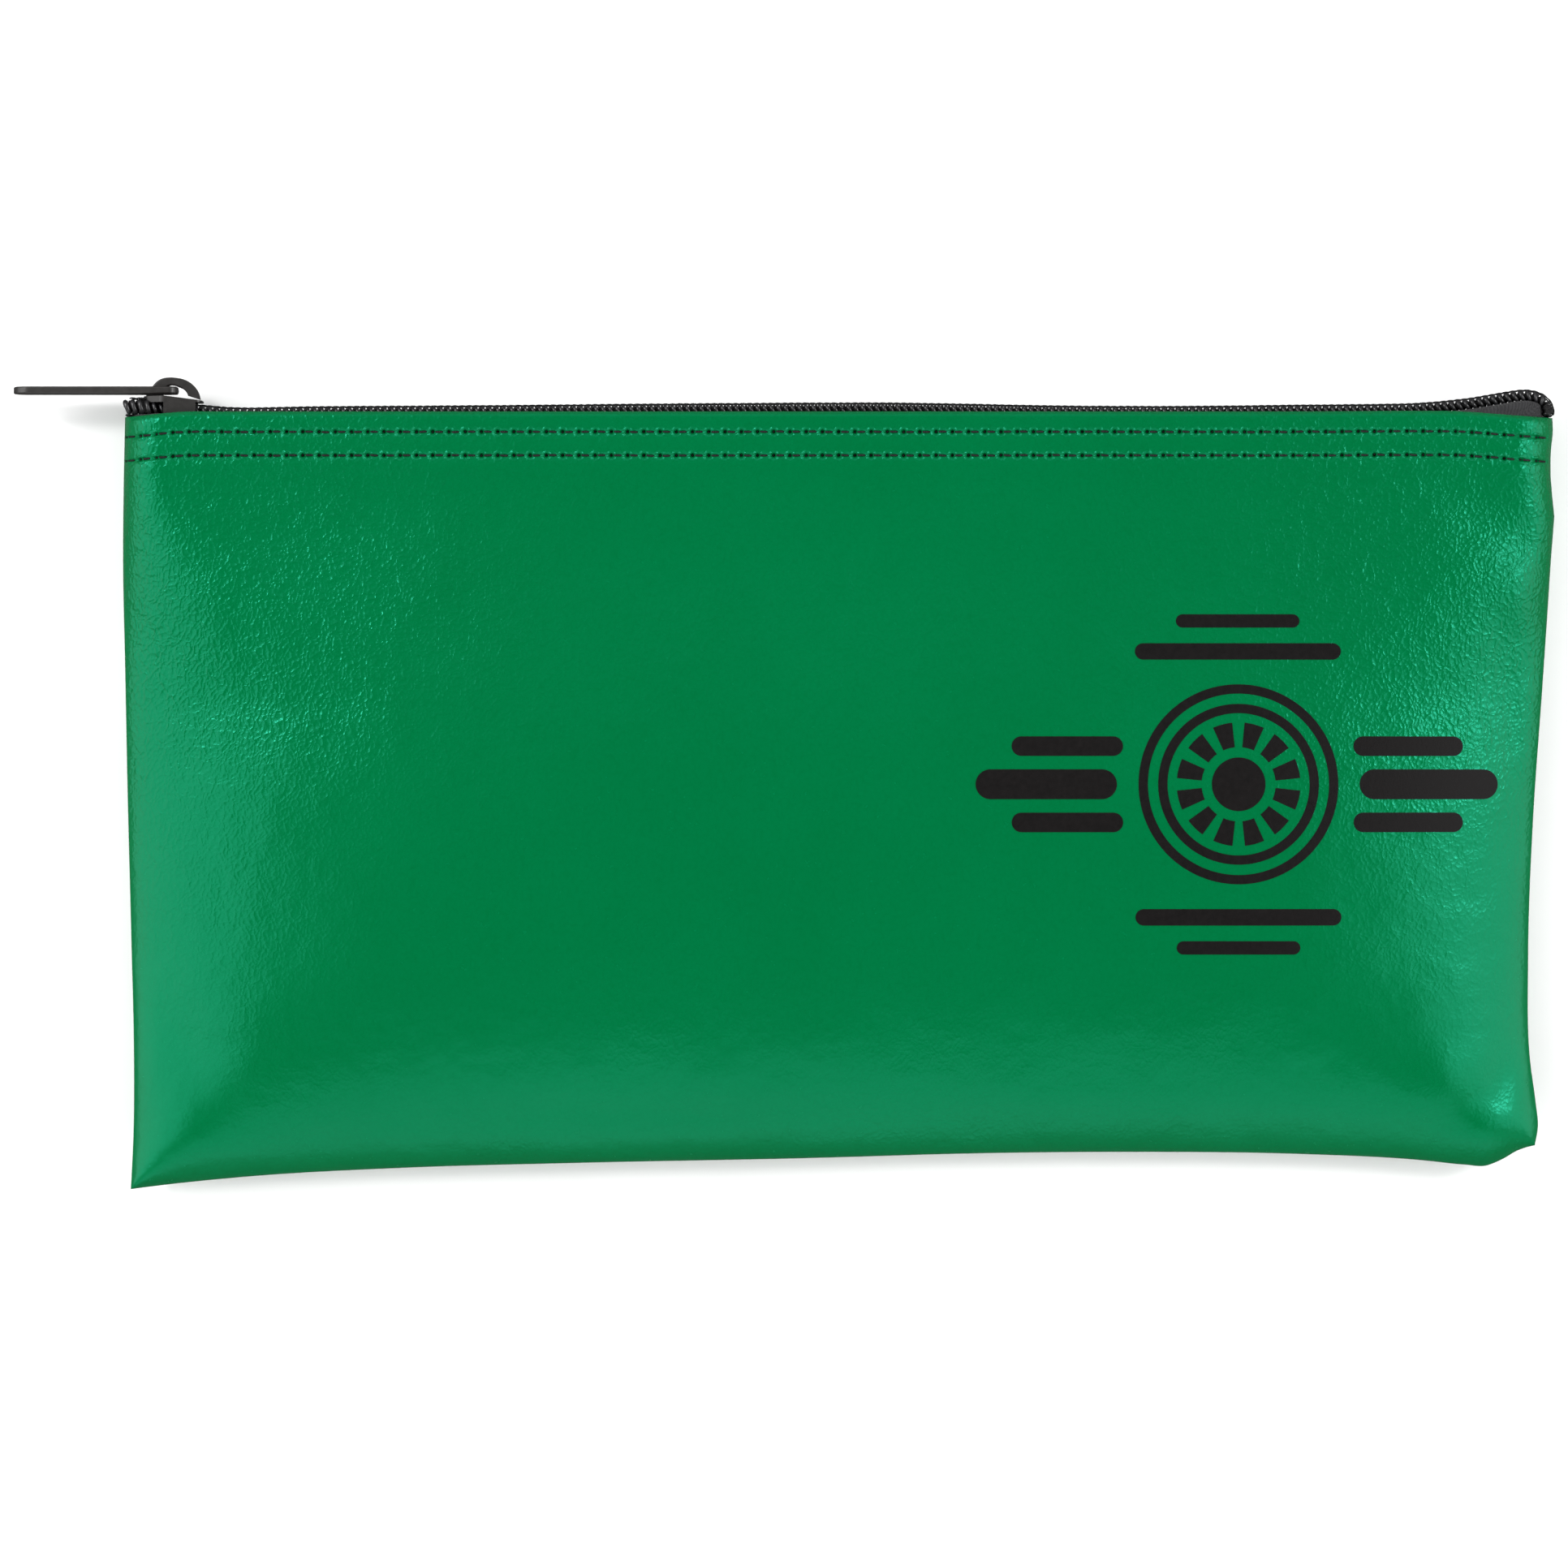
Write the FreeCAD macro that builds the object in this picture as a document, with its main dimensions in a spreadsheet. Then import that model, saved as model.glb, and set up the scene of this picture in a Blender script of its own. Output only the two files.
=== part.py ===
"""Zippered vinyl cash deposit bag, lying on its back, as a parametric FreeCAD document.

The bag is two vinyl panels sewn together along the left, bottom and right edges and turned right
side out, with a coil zipper between the hems of the long top edge. +X runs along the zipper
towards its open end, +Y from the bottom seam to the zipper, and +Z out of the front panel. The
origin is the middle of the flat face that the back panel rests on. Millimetres throughout.
"""
import FreeCAD
import Part
import math
import os
import Sketcher

V = FreeCAD.Vector

# Driving dimensions, kept in the spreadsheet "sizes". Heights called "rise" or "lip" are measured
# from the parting plane, where the front and back panels meet.
SIZES = {
    "bag_width": 279.4,
    "bag_height": 151.6,
    "parting_height": 8.2,
    "seam_gap": 0.15,
    "front_rise": 14.4,
    "back_rise": 8.4,
    "vinyl": 0.8,
    "front_lip": 7.8,
    "back_lip": 7.4,
    "hem_depth": 11.8,
    "thread_lift": 0.05,
    "fold_gap": 0.1,
    "thread": 0.36,
    "upper_row": 4.0,
    "lower_row": 8.6,
    "seam_inset": 0.3,
    "tape": 0.5,
    "tape_gap": 0.4,
    "tape_depth": 14.2,
    "tape_edge": 0.3,
    "chain_rise": 1.6,
    "coil_width": 2.9,
    "coil_height": 2.2,
    "coil_split": 0.9,
    "coil_mesh": 0.08,
    "core_width": 1.3,
    "core_height": 0.8,
    "core_play": 0.06,
    "coil_end": 2.2,
    "coil_taper": 2.4,
    "core_end": 4.0,
    "tack_length": 1.4,
    "tack_width": 5.8,
    "slider_nose": 4.0,
    "slider_length": 11.4,
    "nose_length": 4.0,
    "wing": 1.2,
    "wing_play": 0.4,
    "floor_play": 0.3,
    "shoulder_width": 9.4,
    "tail_width": 7.6,
    "nose_width": 5.2,
    "flange": 0.65,
    "post_width": 1.4,
    "post_length": 3.2,
    "crown_width": 2.6,
    "crown_bar": 1.55,
    "pull_pivot": 9.8,
    "pull_level": 4.37,
    "pull_play": 0.95,
    "pull_thick": 1.45,
    "pull_reach": 31.4,
    "pull_width": 6.2,
    "pull_corner": 1.6,
    "pull_pin": 1.44,
    "eye_bar": 1.5,
    "eye_length": 5.6,
    "eye_width": 3.1,
    "eye_corner": 0.9,
}

# Outline of the two panels below the hem, as the few points that each edge bends through.
LEFT_EDGE = [(-138.3, -75.8), (-137.8, -52.0), (-138.9, -8.0), (-140.0, 46.0), (-139.7, 66.0)]
RIGHT_EDGE = [(136.6, -69.0), (134.9, -30.0), (137.0, 14.0), (139.6, 52.0), (139.7, 66.0)]
BOTTOM_EDGE = [(-138.3, -75.8), (-108.4, -72.8), (-52.9, -70.7), (42.4, -68.9), (98.0, -69.4),
               (126.5, -71.2), (136.6, -69.0)]


class Dim:
    """A length that knows its value and the spreadsheet expression it comes from."""

    def __init__(self, value, text=None):
        self.value = float(value)
        self.text = text or repr(float(value))

    @staticmethod
    def of(other):
        return other if isinstance(other, Dim) else Dim(other)

    def __add__(self, other):
        other = Dim.of(other)
        return Dim(self.value + other.value, f"({self.text} + {other.text})")

    def __sub__(self, other):
        other = Dim.of(other)
        return Dim(self.value - other.value, f"({self.text} - {other.text})")

    def __rsub__(self, other):
        return Dim.of(other) - self

    def __mul__(self, other):
        other = Dim.of(other)
        return Dim(self.value * other.value, f"({self.text} * {other.text})")

    def __truediv__(self, other):
        other = Dim.of(other)
        return Dim(self.value / other.value, f"({self.text} / {other.text})")

    def __neg__(self):
        return Dim(-self.value, f"(-{self.text})")

    __radd__ = __add__
    __rmul__ = __mul__


class Sizes:
    """The spreadsheet, read as attributes: size.vinyl is the Dim of the cell with that alias."""

    def __init__(self, doc):
        self.sheet = doc.addObject("Spreadsheet::Sheet", "sizes")
        for row, (alias, value) in enumerate(SIZES.items(), start=1):
            self.sheet.set(f"A{row}", alias)
            self.sheet.set(f"B{row}", str(value))
            self.sheet.setAlias(f"B{row}", alias)
        doc.recompute()

    def __getattr__(self, alias):
        return Dim(getattr(self.sheet, alias), f"sizes.{alias}")


doc = FreeCAD.newDocument("cash_deposit_bag")
size = Sizes(doc)

# Levels along Y, from the top of the hem outwards to the zipper chain and its slider.
half_width = size.bag_width / 2
hem_top = size.bag_height / 2
hem_foot = hem_top - size.hem_depth
chain_top = hem_top + size.chain_rise
coil_foot = chain_top - size.coil_height
tape_foot = coil_foot - size.tape
channel_top = chain_top + size.wing_play
channel_foot = tape_foot - size.floor_play
wing_top = channel_top + size.wing
pivot_y = hem_top + size.pull_level

# Places along X of the slider in the closed position.
nose_x = -half_width + size.slider_nose
shoulder_x = nose_x + size.nose_length
tail_x = nose_x + size.slider_length
pivot_x = -half_width + size.pull_pivot


# ---- building blocks -------------------------------------------------------------------------

def bind(item, prop, dim):
    """Sets a property and keeps it driven by the spreadsheet."""
    item.setExpression(prop, dim.text)


def new_body(label, height=None):
    """A PartDesign body modelled about the parting plane and lifted to its height."""
    body = doc.addObject("PartDesign::Body", label)
    body.Label = label
    bind(body, ".Placement.Base.z", height or size.parting_height)
    return body


def add_sketch(body, name, role, offset):
    """A sketch on one of the body's origin planes, moved along that plane's normal."""
    sketch = body.newObject("Sketcher::SketchObject", f"{body.Name}_{name}")
    plane = [p for p in body.Origin.OriginFeatures if p.Role == role][0]
    sketch.AttachmentSupport = [(plane, "")]
    sketch.MapMode = "FlatFace"
    sketch.AttachmentOffset = FreeCAD.Placement(V(0, 0, offset.value), FreeCAD.Rotation())
    bind(sketch, ".AttachmentOffset.Base.z", offset)
    return sketch


def arc_between(start, end, radius):
    """The minor arc from start to end: anticlockwise if radius is positive, else clockwise."""
    chord = end - start
    reach = math.sqrt(max(radius * radius - chord.Length ** 2 / 4, 0.0))
    side = V(-chord.y, chord.x, 0).normalize() * math.copysign(reach, radius)
    centre = (start + end) / 2 + side
    first, last = (start, end) if radius > 0 else (end, start)
    angles = [math.atan2(p.y - centre.y, p.x - centre.x) for p in (first, last)]
    circle = Part.Circle(centre, V(0, 0, 1), abs(radius))
    return Part.ArcOfCircle(circle, angles[0], angles[1])


def draw_outline(sketch, corners):
    """Draws a closed outline. Each corner is (x, y) or (x, y, radius of the arc that leaves it)."""
    points = [V(c[0].value, c[1].value, 0) for c in corners]
    ends = []
    for index, corner in enumerate(corners):
        start, end = points[index], points[(index + 1) % len(points)]
        if len(corner) == 2:
            geometry = sketch.addGeometry(Part.LineSegment(start, end), False)
            ends.append((geometry, 1, 2))
        else:
            radius = corner[2]
            geometry = sketch.addGeometry(arc_between(start, end, radius.value), False)
            ends.append((geometry, 1, 2) if radius.value > 0 else (geometry, 2, 1))
            bound = sketch.addConstraint(
                Sketcher.Constraint("Radius", geometry, abs(radius.value)))
            bind(sketch, f"Constraints[{bound}]", radius if radius.value > 0 else -radius)
    for index, corner in enumerate(corners):
        geometry, first, last = ends[index]
        follower, follower_first, _ = ends[(index + 1) % len(ends)]
        sketch.addConstraint(
            Sketcher.Constraint("Coincident", geometry, last, follower, follower_first))
        for axis, dim in (("DistanceX", corner[0]), ("DistanceY", corner[1])):
            bound = sketch.addConstraint(Sketcher.Constraint(axis, geometry, first, dim.value))
            bind(sketch, f"Constraints[{bound}]", dim)


def pad_up(body, name, low, high, corners):
    """A pad whose outline lies in X and Z and which fills the levels low to high along Y."""
    sketch = add_sketch(body, f"{name}_outline", "XZ_Plane", -low)
    draw_outline(sketch, corners)
    pad = body.newObject("PartDesign::Pad", f"{body.Name}_{name}")
    pad.Profile = sketch
    pad.Length = (high - low).value
    bind(pad, "Length", high - low)
    pad.Reversed = True
    return pad


def pad_across(body, name, width, corners):
    """A pad whose outline lies in X and Y, centred on the parting plane."""
    sketch = add_sketch(body, f"{name}_outline", "XY_Plane", Dim(0))
    draw_outline(sketch, corners)
    pad = body.newObject("PartDesign::Pad", f"{body.Name}_{name}")
    pad.Profile = sketch
    pad.SideType = "Symmetric"
    pad.Length = width.value
    bind(pad, "Length", width)
    return pad


def cut_up(body, name, low, high, corners):
    """A pocket whose outline lies in X and Z and which clears the levels low to high along Y."""
    sketch = add_sketch(body, f"{name}_outline", "XZ_Plane", -low)
    draw_outline(sketch, corners)
    pocket = body.newObject("PartDesign::Pocket", f"{body.Name}_{name}")
    pocket.Profile = sketch
    pocket.Length = (high - low).value
    bind(pocket, "Length", high - low)
    return pocket


def cut_across(body, name, width, corners):
    """A pocket whose outline lies in X and Y, centred on the parting plane."""
    sketch = add_sketch(body, f"{name}_outline", "XY_Plane", Dim(0))
    draw_outline(sketch, corners)
    pocket = body.newObject("PartDesign::Pocket", f"{body.Name}_{name}")
    pocket.Profile = sketch
    pocket.SideType = "Symmetric"
    pocket.Length = width.value
    bind(pocket, "Length", width)
    return pocket


def round_edges(body, name, radius, wanted):
    """Fillets the edges of the body's last feature that wanted(edge) picks."""
    doc.recompute()
    base = body.Tip
    picked = [f"Edge{i}" for i, edge in enumerate(base.Shape.Edges, start=1) if wanted(edge)]
    fillet = body.newObject("PartDesign::Fillet", f"{body.Name}_{name}")
    fillet.Base = (base, picked)
    fillet.Radius = radius
    return fillet


def seam_band(sign, lip, outer, inner):
    """Outline of a band that follows a lip of the mouth in plan, between two insets from it.

    A lip runs along the zipper at its height over the parting plane, and turns down to the side
    seam at each end on an arc of that height as radius. sign is 1 for the front, -1 for the back.
    """
    far, near = lip - outer, lip - inner
    turn = half_width - lip
    base = size.seam_gap * sign
    return [
        (-half_width + outer, base),
        (-half_width + outer, base + 0.02 * sign, -far * sign),
        (-turn, far * sign + base),
        (turn, far * sign + base, -far * sign),
        (half_width - outer, base + 0.02 * sign),
        (half_width - outer, base),
        (half_width - inner, base),
        (half_width - inner, base + 0.02 * sign, near * sign),
        (turn, near * sign + base),
        (-turn, near * sign + base, near * sign),
        (-half_width + inner, base + 0.02 * sign),
        (-half_width + inner, base),
    ]


# ---- vinyl panels ----------------------------------------------------------------------------

def smooth_step(low, high, value):
    share = min(max((value - low) / (high - low), 0.0), 1.0)
    return share * share * (3 - 2 * share)


def curve_reader(points, along):
    """A function that reads a smooth curve through the points at a place along X (0) or Y (1)."""
    curve = Part.BSplineCurve()
    curve.interpolate([V(x, y, 0) for x, y in points])
    steps = 240
    samples = [curve.value(curve.FirstParameter + (curve.LastParameter - curve.FirstParameter)
                           * i / steps) for i in range(steps + 1)]

    def read(place):
        for first, second in zip(samples, samples[1:]):
            if first[along] <= place <= second[along]:
                share = (place - first[along]) / (second[along] - first[along])
                return first[1 - along] * (1 - share) + second[1 - along] * share
        return (samples[0] if place < samples[0][along] else samples[-1])[1 - along]

    return read


left_of = curve_reader(LEFT_EDGE, 1)
right_of = curve_reader(RIGHT_EDGE, 1)
bottom_of = curve_reader(BOTTOM_EDGE, 0)


def panel_rise(x, y, rise, lip, rolls, inset):
    """Height of a stuffed panel over the parting plane.

    It swells from the side and bottom seams over the two roll distances, and narrows to the
    height of the lip at the hem, where the roll is a quarter circle. An inset gives the same
    shape further in, for the other faces of the sheet.
    """
    foot = hem_foot.value
    rise, lip = rise - inset, lip - inset
    neck = smooth_step(-5.0, foot, y)
    crest = rise + (lip - rise) * neck
    roll = rolls[0] + (lip - rolls[0]) * smooth_step(20.0, foot, y) ** 0.6
    power = 0.7 - 0.2 * neck
    from_side = min(x - left_of(y), right_of(y) - x) - inset
    side = min(max(from_side / roll, 0.0), 1.0)
    bottom = min(max((y - bottom_of(x) - inset) / rolls[1], 0.0), 1.0)
    swells = [1 - (1 - share) ** 2 for share in (side, bottom)]
    if min(swells) < 1e-9:
        return 0.0
    joined = (sum(swell ** -3 for swell in swells) - 1) ** (-1 / 3)
    return crest * joined ** power


def panel_grid(sign, rise, lip, rolls, inset):
    """Poles of a panel's face, closest together along the seams and up the hem."""
    columns, rows, hem_rows, crowd = 32, 18, 3, 2.4
    foot, low = hem_foot.value, size.seam_gap.value
    grid = []
    for i in range(columns + 1):
        across = 0.5 + 0.5 * math.tanh(crowd * (2 * i / columns - 1)) / math.tanh(crowd)
        line = []
        for j in range(rows + hem_rows + 1):
            up = 1 - math.cos(math.pi / 2 * min(j / rows, 1.0))
            x = left_of(0) + (right_of(0) - left_of(0)) * across
            for _ in range(3):
                y = (bottom_of(x) + inset) * (1 - up) + foot * up
                if j > rows:
                    y = foot + size.hem_depth.value * (j - rows) / hem_rows
                x = (left_of(y) + inset) * (1 - across) + (right_of(y) - inset) * across
            z = low
            if 0 < i < columns and j > 0:
                z += panel_rise(x, y, rise, lip, rolls, inset)
            line.append(V(x, y, sign * z))
        grid.append(line)
    return grid


def even_knots(count):
    """Multiplicities and knots of a clamped cubic spline with that many poles."""
    spans = count - 3
    return [4] + [1] * (spans - 1) + [4], [float(knot) for knot in range(spans + 1)]


def surface_over(grid):
    """The smooth surface that a grid of poles controls."""
    along_mults, along_knots = even_knots(len(grid))
    up_mults, up_knots = even_knots(len(grid[0]))
    surface = Part.BSplineSurface()
    surface.buildFromPolesMultsKnots(grid, along_mults, up_mults, along_knots, up_knots,
                                     False, False, 3, 3)
    return surface


def boundary(surface):
    """The edges of a surface: left, right, bottom and top."""
    low_u, high_u, low_v, high_v = surface.bounds()
    curves = surface.uIso(low_u), surface.uIso(high_u), surface.vIso(low_v), surface.vIso(high_v)
    return [curve.toShape() for curve in curves]


def hem_line(grid, level):
    """The line across a hem at one level."""
    poles = [V(line[-1].x, level, line[-1].z) for line in grid]
    mults, knots = even_knots(len(poles))
    curve = Part.BSplineCurve()
    curve.buildFromPolesMultsKnots(poles, mults, knots, False, 3)
    return curve.toShape()


def flat_face(edges):
    return Part.Face(Part.Wire(Part.__sortEdges__(edges)))


def strip_between(first, second):
    """The flat face between two curves that run side by side."""
    ends = [Part.makeLine(first.Vertexes[i].Point, second.Vertexes[i].Point) for i in (0, -1)]
    return flat_face([first, second] + ends)


def panel_sheet(label, sign, rise, lip, rolls):
    """A panel with its turned hem: one closed solid of the sheet's thickness."""
    vinyl, gap = size.vinyl.value, size.fold_gap.value
    top, fold = hem_top.value, (hem_top - size.vinyl).value
    low = hem_foot.value + 0.8
    insets = 0.0, vinyl, vinyl + gap, 2 * vinyl + gap
    outer, inner, far, near = [panel_grid(sign, rise, lip, rolls, inset) for inset in insets]
    for line in inner:
        line[-1].y = fold
    surfaces = surface_over(outer), surface_over(inner)
    left, right, foot, head = zip(*(boundary(surface) for surface in surfaces))
    turns = [hem_line(near, top), hem_line(near, low), hem_line(far, low), hem_line(far, fold)]
    faces = [surface.toShape() for surface in surfaces]
    faces += [
        strip_between(head[0], turns[0]),
        Part.makeRuledSurface(turns[0], turns[1]),
        strip_between(turns[1], turns[2]),
        Part.makeRuledSurface(turns[2], turns[3]),
        strip_between(turns[3], head[1]),
        strip_between(*foot),
    ]
    chain = [head[0]] + turns + [head[1]]
    for end, sides in ((0, left), (-1, right)):
        corners = [curve.Vertexes[end].Point for curve in chain]
        edges = [Part.makeLine(first, second) for first, second in zip(corners, corners[1:])]
        edges.append(Part.makeLine(outer[end][0], inner[end][0]))
        faces.append(flat_face(edges + list(sides)))
    shell = Part.Shell(faces)
    shell.sewShape()
    solid = Part.Solid(shell)
    if solid.Volume < 0:
        solid.reverse()
    sheet = doc.addObject("Part::Feature", label)
    sheet.Shape = solid
    bind(sheet, ".Placement.Base.z", size.parting_height)
    return sheet


def seam_edges(inset):
    """Curves along the left, bottom and right seams, moved into the bag by inset."""
    steps = 12
    high = hem_foot.value
    low_left, low_right = BOTTOM_EDGE[0][1] + inset, BOTTOM_EDGE[-1][1] + inset
    left, right = left_of(low_left) + inset, right_of(low_right) - inset
    shares = [i / steps for i in range(steps + 1)]
    rows = [
        [V(left_of(y) + inset, y, 0) for y in (high + (low_left - high) * s for s in shares)],
        [V(x, bottom_of(x) + inset, 0) for x in (left + (right - left) * s for s in shares)],
        [V(right_of(y) - inset, y, 0) for y in (low_right + (high - low_right) * s for s in shares)],
    ]
    rows[1][0], rows[1][-1] = rows[0][-1], rows[2][0]
    edges = []
    for points in rows:
        curve = Part.BSplineCurve()
        curve.interpolate(points)
        edges.append(curve.toShape())
    return edges


def seam_strip(name, outer, inner, depth):
    """A flat strip along the three sewn edges, between two insets and centred on the parting
    plane."""
    far, near = seam_edges(outer), seam_edges(inner)
    ends = [Part.makeLine(far[i].Vertexes[i].Point, near[i].Vertexes[i].Point) for i in (0, -1)]
    strip = doc.addObject("Part::Feature", name)
    strip.Shape = flat_face(far + near + ends).extrude(V(0, 0, depth.value))
    bind(strip, ".Placement.Base.z", size.parting_height - depth / 2)
    return strip


def build_front_panel():
    return panel_sheet("front_panel", 1, size.front_rise.value, size.front_lip.value, (62.0, 50.0))


def build_back_panel():
    """The back panel is pressed flat where it lies on the table."""
    panel = panel_sheet("back_panel_swollen", -1, size.back_rise.value, size.back_lip.value,
                        (34.0, 30.0))
    table = doc.addObject("Part::Box", "table")
    margin, depth = 10.0, 5.0
    bind(table, "Length", size.bag_width + 2 * margin)
    bind(table, "Width", size.bag_height + 2 * margin)
    table.Height = depth
    bind(table, ".Placement.Base.x", -half_width - margin)
    bind(table, ".Placement.Base.y", -hem_top - margin)
    table.Placement.Base.z = -depth
    flat = doc.addObject("Part::Cut", "back_panel")
    flat.Base = panel
    flat.Tool = table
    return flat


# ---- stitching -------------------------------------------------------------------------------

def hem_stitching(label, sign, lip, row):
    """One row of lockstitch along a hem, as the cord of thread that lies on its outer face."""
    body = new_body(label)
    level = hem_top - row
    proud = size.thread_lift + size.thread
    pad_up(body, "row", level - size.thread / 2, level + size.thread / 2,
           seam_band(sign, lip, -proud, -size.thread_lift))
    return body


def seam_stitching(label):
    """The thread that closes the side and bottom seams, in the groove between the panels."""
    inset, thread = size.seam_inset.value, size.thread.value
    strip = seam_strip(label, inset, inset + thread, 1.4 * size.seam_gap)
    strip.Label = label
    return strip


# ---- zipper ----------------------------------------------------------------------------------

def zipper_tape(label, sign, lip):
    """A woven tape, sewn down inside the hem and turned out flat under the coil."""
    body = new_body(label)
    near = 2 * size.vinyl + size.fold_gap + size.tape_gap
    far = near + size.tape
    base = size.seam_gap * sign
    turn = half_width - lip
    split = size.coil_split + 0.1
    pad_up(body, "sewn_part", hem_top - size.tape_depth, coil_foot, seam_band(sign, lip, near, far))
    reach = lip - near
    pad_up(body, "flat_part", tape_foot, coil_foot, [
        (-half_width + near, split * sign),
        (-half_width + near, split * sign + 0.02 * sign),
        (-half_width + near + 0.6, reach * sign * 0.55),
        (-turn, reach * sign + base),
        (turn, reach * sign + base),
        (half_width - near - 0.6, reach * sign * 0.55),
        (half_width - near, split * sign),
        (half_width - near, size.tape_edge * sign),
        (shoulder_x + 2, size.tape_edge * sign),
        (shoulder_x, split * sign),
    ])
    return body


def chain_row(sign, low, high, end, taper=0.05):
    """Outline in plan of a lengthwise strip of one side of the chain, between two distances from
    its meshing edge and stopping short of the bag's sides by end, where its outer corner is cut
    off by taper. Left of the slider the sides part to pass the slider's post."""
    left, right = -half_width + end, half_width - end
    meshed, parted = size.coil_mesh, size.coil_split
    return [
        (left, (parted + low) * sign),
        (shoulder_x + 0.2, (parted + low) * sign),
        (shoulder_x + 4.6, (meshed + low) * sign),
        (right, (meshed + low) * sign),
        (right, (meshed + high - taper) * sign),
        (right - taper, (meshed + high) * sign),
        (shoulder_x + 4.6, (meshed + high) * sign),
        (shoulder_x + 0.2, (parted + high) * sign),
        (left + taper, (parted + high) * sign),
        (left, (parted + high - taper) * sign),
    ]


def core_levels(play):
    middle = coil_foot + size.coil_height / 2
    half = size.core_height / 2 + play
    return middle - half, middle + half


def core_row(sign, play):
    middle = size.coil_width / 2
    half = size.core_width / 2 + play
    return chain_row(sign, middle - half, middle + half, size.core_end - play)


def zipper_coil(label, sign):
    """One side's coil of nylon, as the hollow envelope of its turns."""
    body = new_body(label)
    pad_up(body, "turns", coil_foot, chain_top,
           chain_row(sign, Dim(0), size.coil_width, size.coil_end, size.coil_taper))
    low, high = core_levels(size.core_play)
    cut_up(body, "bore", low, high, core_row(sign, size.core_play))
    return body


def coil_core(label, sign):
    """The filler cord that runs inside a coil."""
    body = new_body(label)
    low, high = core_levels(Dim(0))
    pad_up(body, "cord", low, high, core_row(sign, Dim(0)))
    return body


def coil_stitching(label, sign):
    """The chain stitch that holds a coil down on its tape."""
    body = new_body(label)
    middle = size.coil_width / 2
    pad_up(body, "row", chain_top, chain_top + 0.2,
           chain_row(sign, middle - 0.25, middle + 0.25, size.core_end))
    return body


def end_tack(label, start):
    """A bar of thread across the end of the chain, which stops the slider."""
    body = new_body(label)
    end, half = start + size.tack_length, size.tack_width / 2
    low = chain_top + 0.22
    pad_up(body, "bar", low, low + size.thread,
           [(start, -half), (end, -half), (end, half), (start, half)])
    return body


# ---- slider and pull -------------------------------------------------------------------------

def wing_outline():
    """Plan outline of the slider: a narrow nose, wide shoulders and a narrower tail."""
    nose, shoulder, tail = size.nose_width / 2, size.shoulder_width / 2, size.tail_width / 2
    tail_round = 1.2
    return [
        (nose_x, -nose * 0.6, Dim(3.2)),
        (nose_x + 1.2, -nose - 0.35),
        (shoulder_x - 0.8, -shoulder + 0.1, Dim(2.4)),
        (shoulder_x + 0.6, -shoulder),
        (tail_x - tail_round, -tail, Dim(tail_round)),
        (tail_x, -tail + tail_round),
        (tail_x, tail - tail_round, Dim(tail_round)),
        (tail_x - tail_round, tail),
        (shoulder_x + 0.6, shoulder, Dim(2.4)),
        (shoulder_x - 0.8, shoulder - 0.1),
        (nose_x + 1.2, nose + 0.35, Dim(3.2)),
        (nose_x, nose * 0.6),
    ]


def flange_outline(sign):
    """Plan outline of the rim that turns down from the top wing beside the chain."""
    shoulder, tail = size.shoulder_width / 2, size.tail_width / 2
    return [
        (shoulder_x, (shoulder - size.flange) * sign),
        (shoulder_x, (shoulder - 0.02) * sign),
        (shoulder_x + 0.6, (shoulder - 0.02) * sign),
        (tail_x - 1.2, (tail - 0.02) * sign),
        (tail_x - 1.2, (tail - size.flange) * sign),
    ]


def crown_outline():
    """Side view of the crown: a hook that rises from the nose, with its open end over the tail."""
    top = pivot_y + size.pull_play + size.crown_bar
    under = pivot_y + size.pull_play
    foot = wing_top - 0.3
    return [
        (nose_x + 0.2, foot),
        (shoulder_x - 0.35, foot),
        (shoulder_x - 0.35, pivot_y - 0.2, -Dim(1.9)),
        (pivot_x + 0.2, under),
        (pivot_x + 1.55, pivot_y + 0.42, -Dim(2.2)),
        (pivot_x + 2.75, pivot_y - 1.0),
        (tail_x - 0.5, pivot_y - 1.75, Dim(4.7)),
        (pivot_x + 0.9, top - 0.1, Dim(7.5)),
        (shoulder_x + 0.2, top, Dim(3.4)),
        (nose_x + 1.5, pivot_y + 0.5, Dim(6.0)),
    ]


def build_slider():
    """The cast slider: two wings joined by a post, rims beside the chain, and the crown."""
    body = new_body("slider_body")
    pad_up(body, "bottom_wing", channel_foot - size.wing, channel_foot, wing_outline())
    post = size.post_width / 2
    post_end = nose_x + 0.6 + size.post_length
    pad_up(body, "post", channel_foot - 0.2, channel_top + 0.2, [
        (nose_x + 0.6, -post * 0.5, Dim(0.9)),
        (nose_x + 1.2, -post),
        (post_end - 0.8, -post),
        (post_end, -post * 0.3),
        (post_end, post * 0.3),
        (post_end - 0.8, post),
        (nose_x + 1.2, post, Dim(0.9)),
        (nose_x + 0.6, post * 0.5),
    ])
    pad_up(body, "top_wing", channel_top, wing_top, wing_outline())
    for sign, side in ((1, "front"), (-1, "back")):
        outline = flange_outline(sign)
        pad_up(body, f"{side}_flange", coil_foot + 0.25, channel_top + 0.2,
               outline if sign < 0 else outline[::-1])
    cut_across(body, "tail_slope", Dim(20), [
        (shoulder_x + 0.4, wing_top),
        (tail_x + 1, wing_top - 1.0),
        (tail_x + 1, wing_top + 0.5),
        (shoulder_x + 0.4, wing_top + 0.5),
    ])
    pad_across(body, "crown", size.crown_width, crown_outline())
    round_edges(body, "crown_edges", 0.3, is_crown_edge)
    return body


def is_crown_edge(edge):
    """Long edges on both sides of the crown, above the wing."""
    box = edge.BoundBox
    half = size.crown_width.value / 2
    flat = box.ZLength < 0.01 and abs(abs(box.ZMin) - half) < 0.01
    return flat and box.YMin > wing_top.value + 0.05


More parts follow.
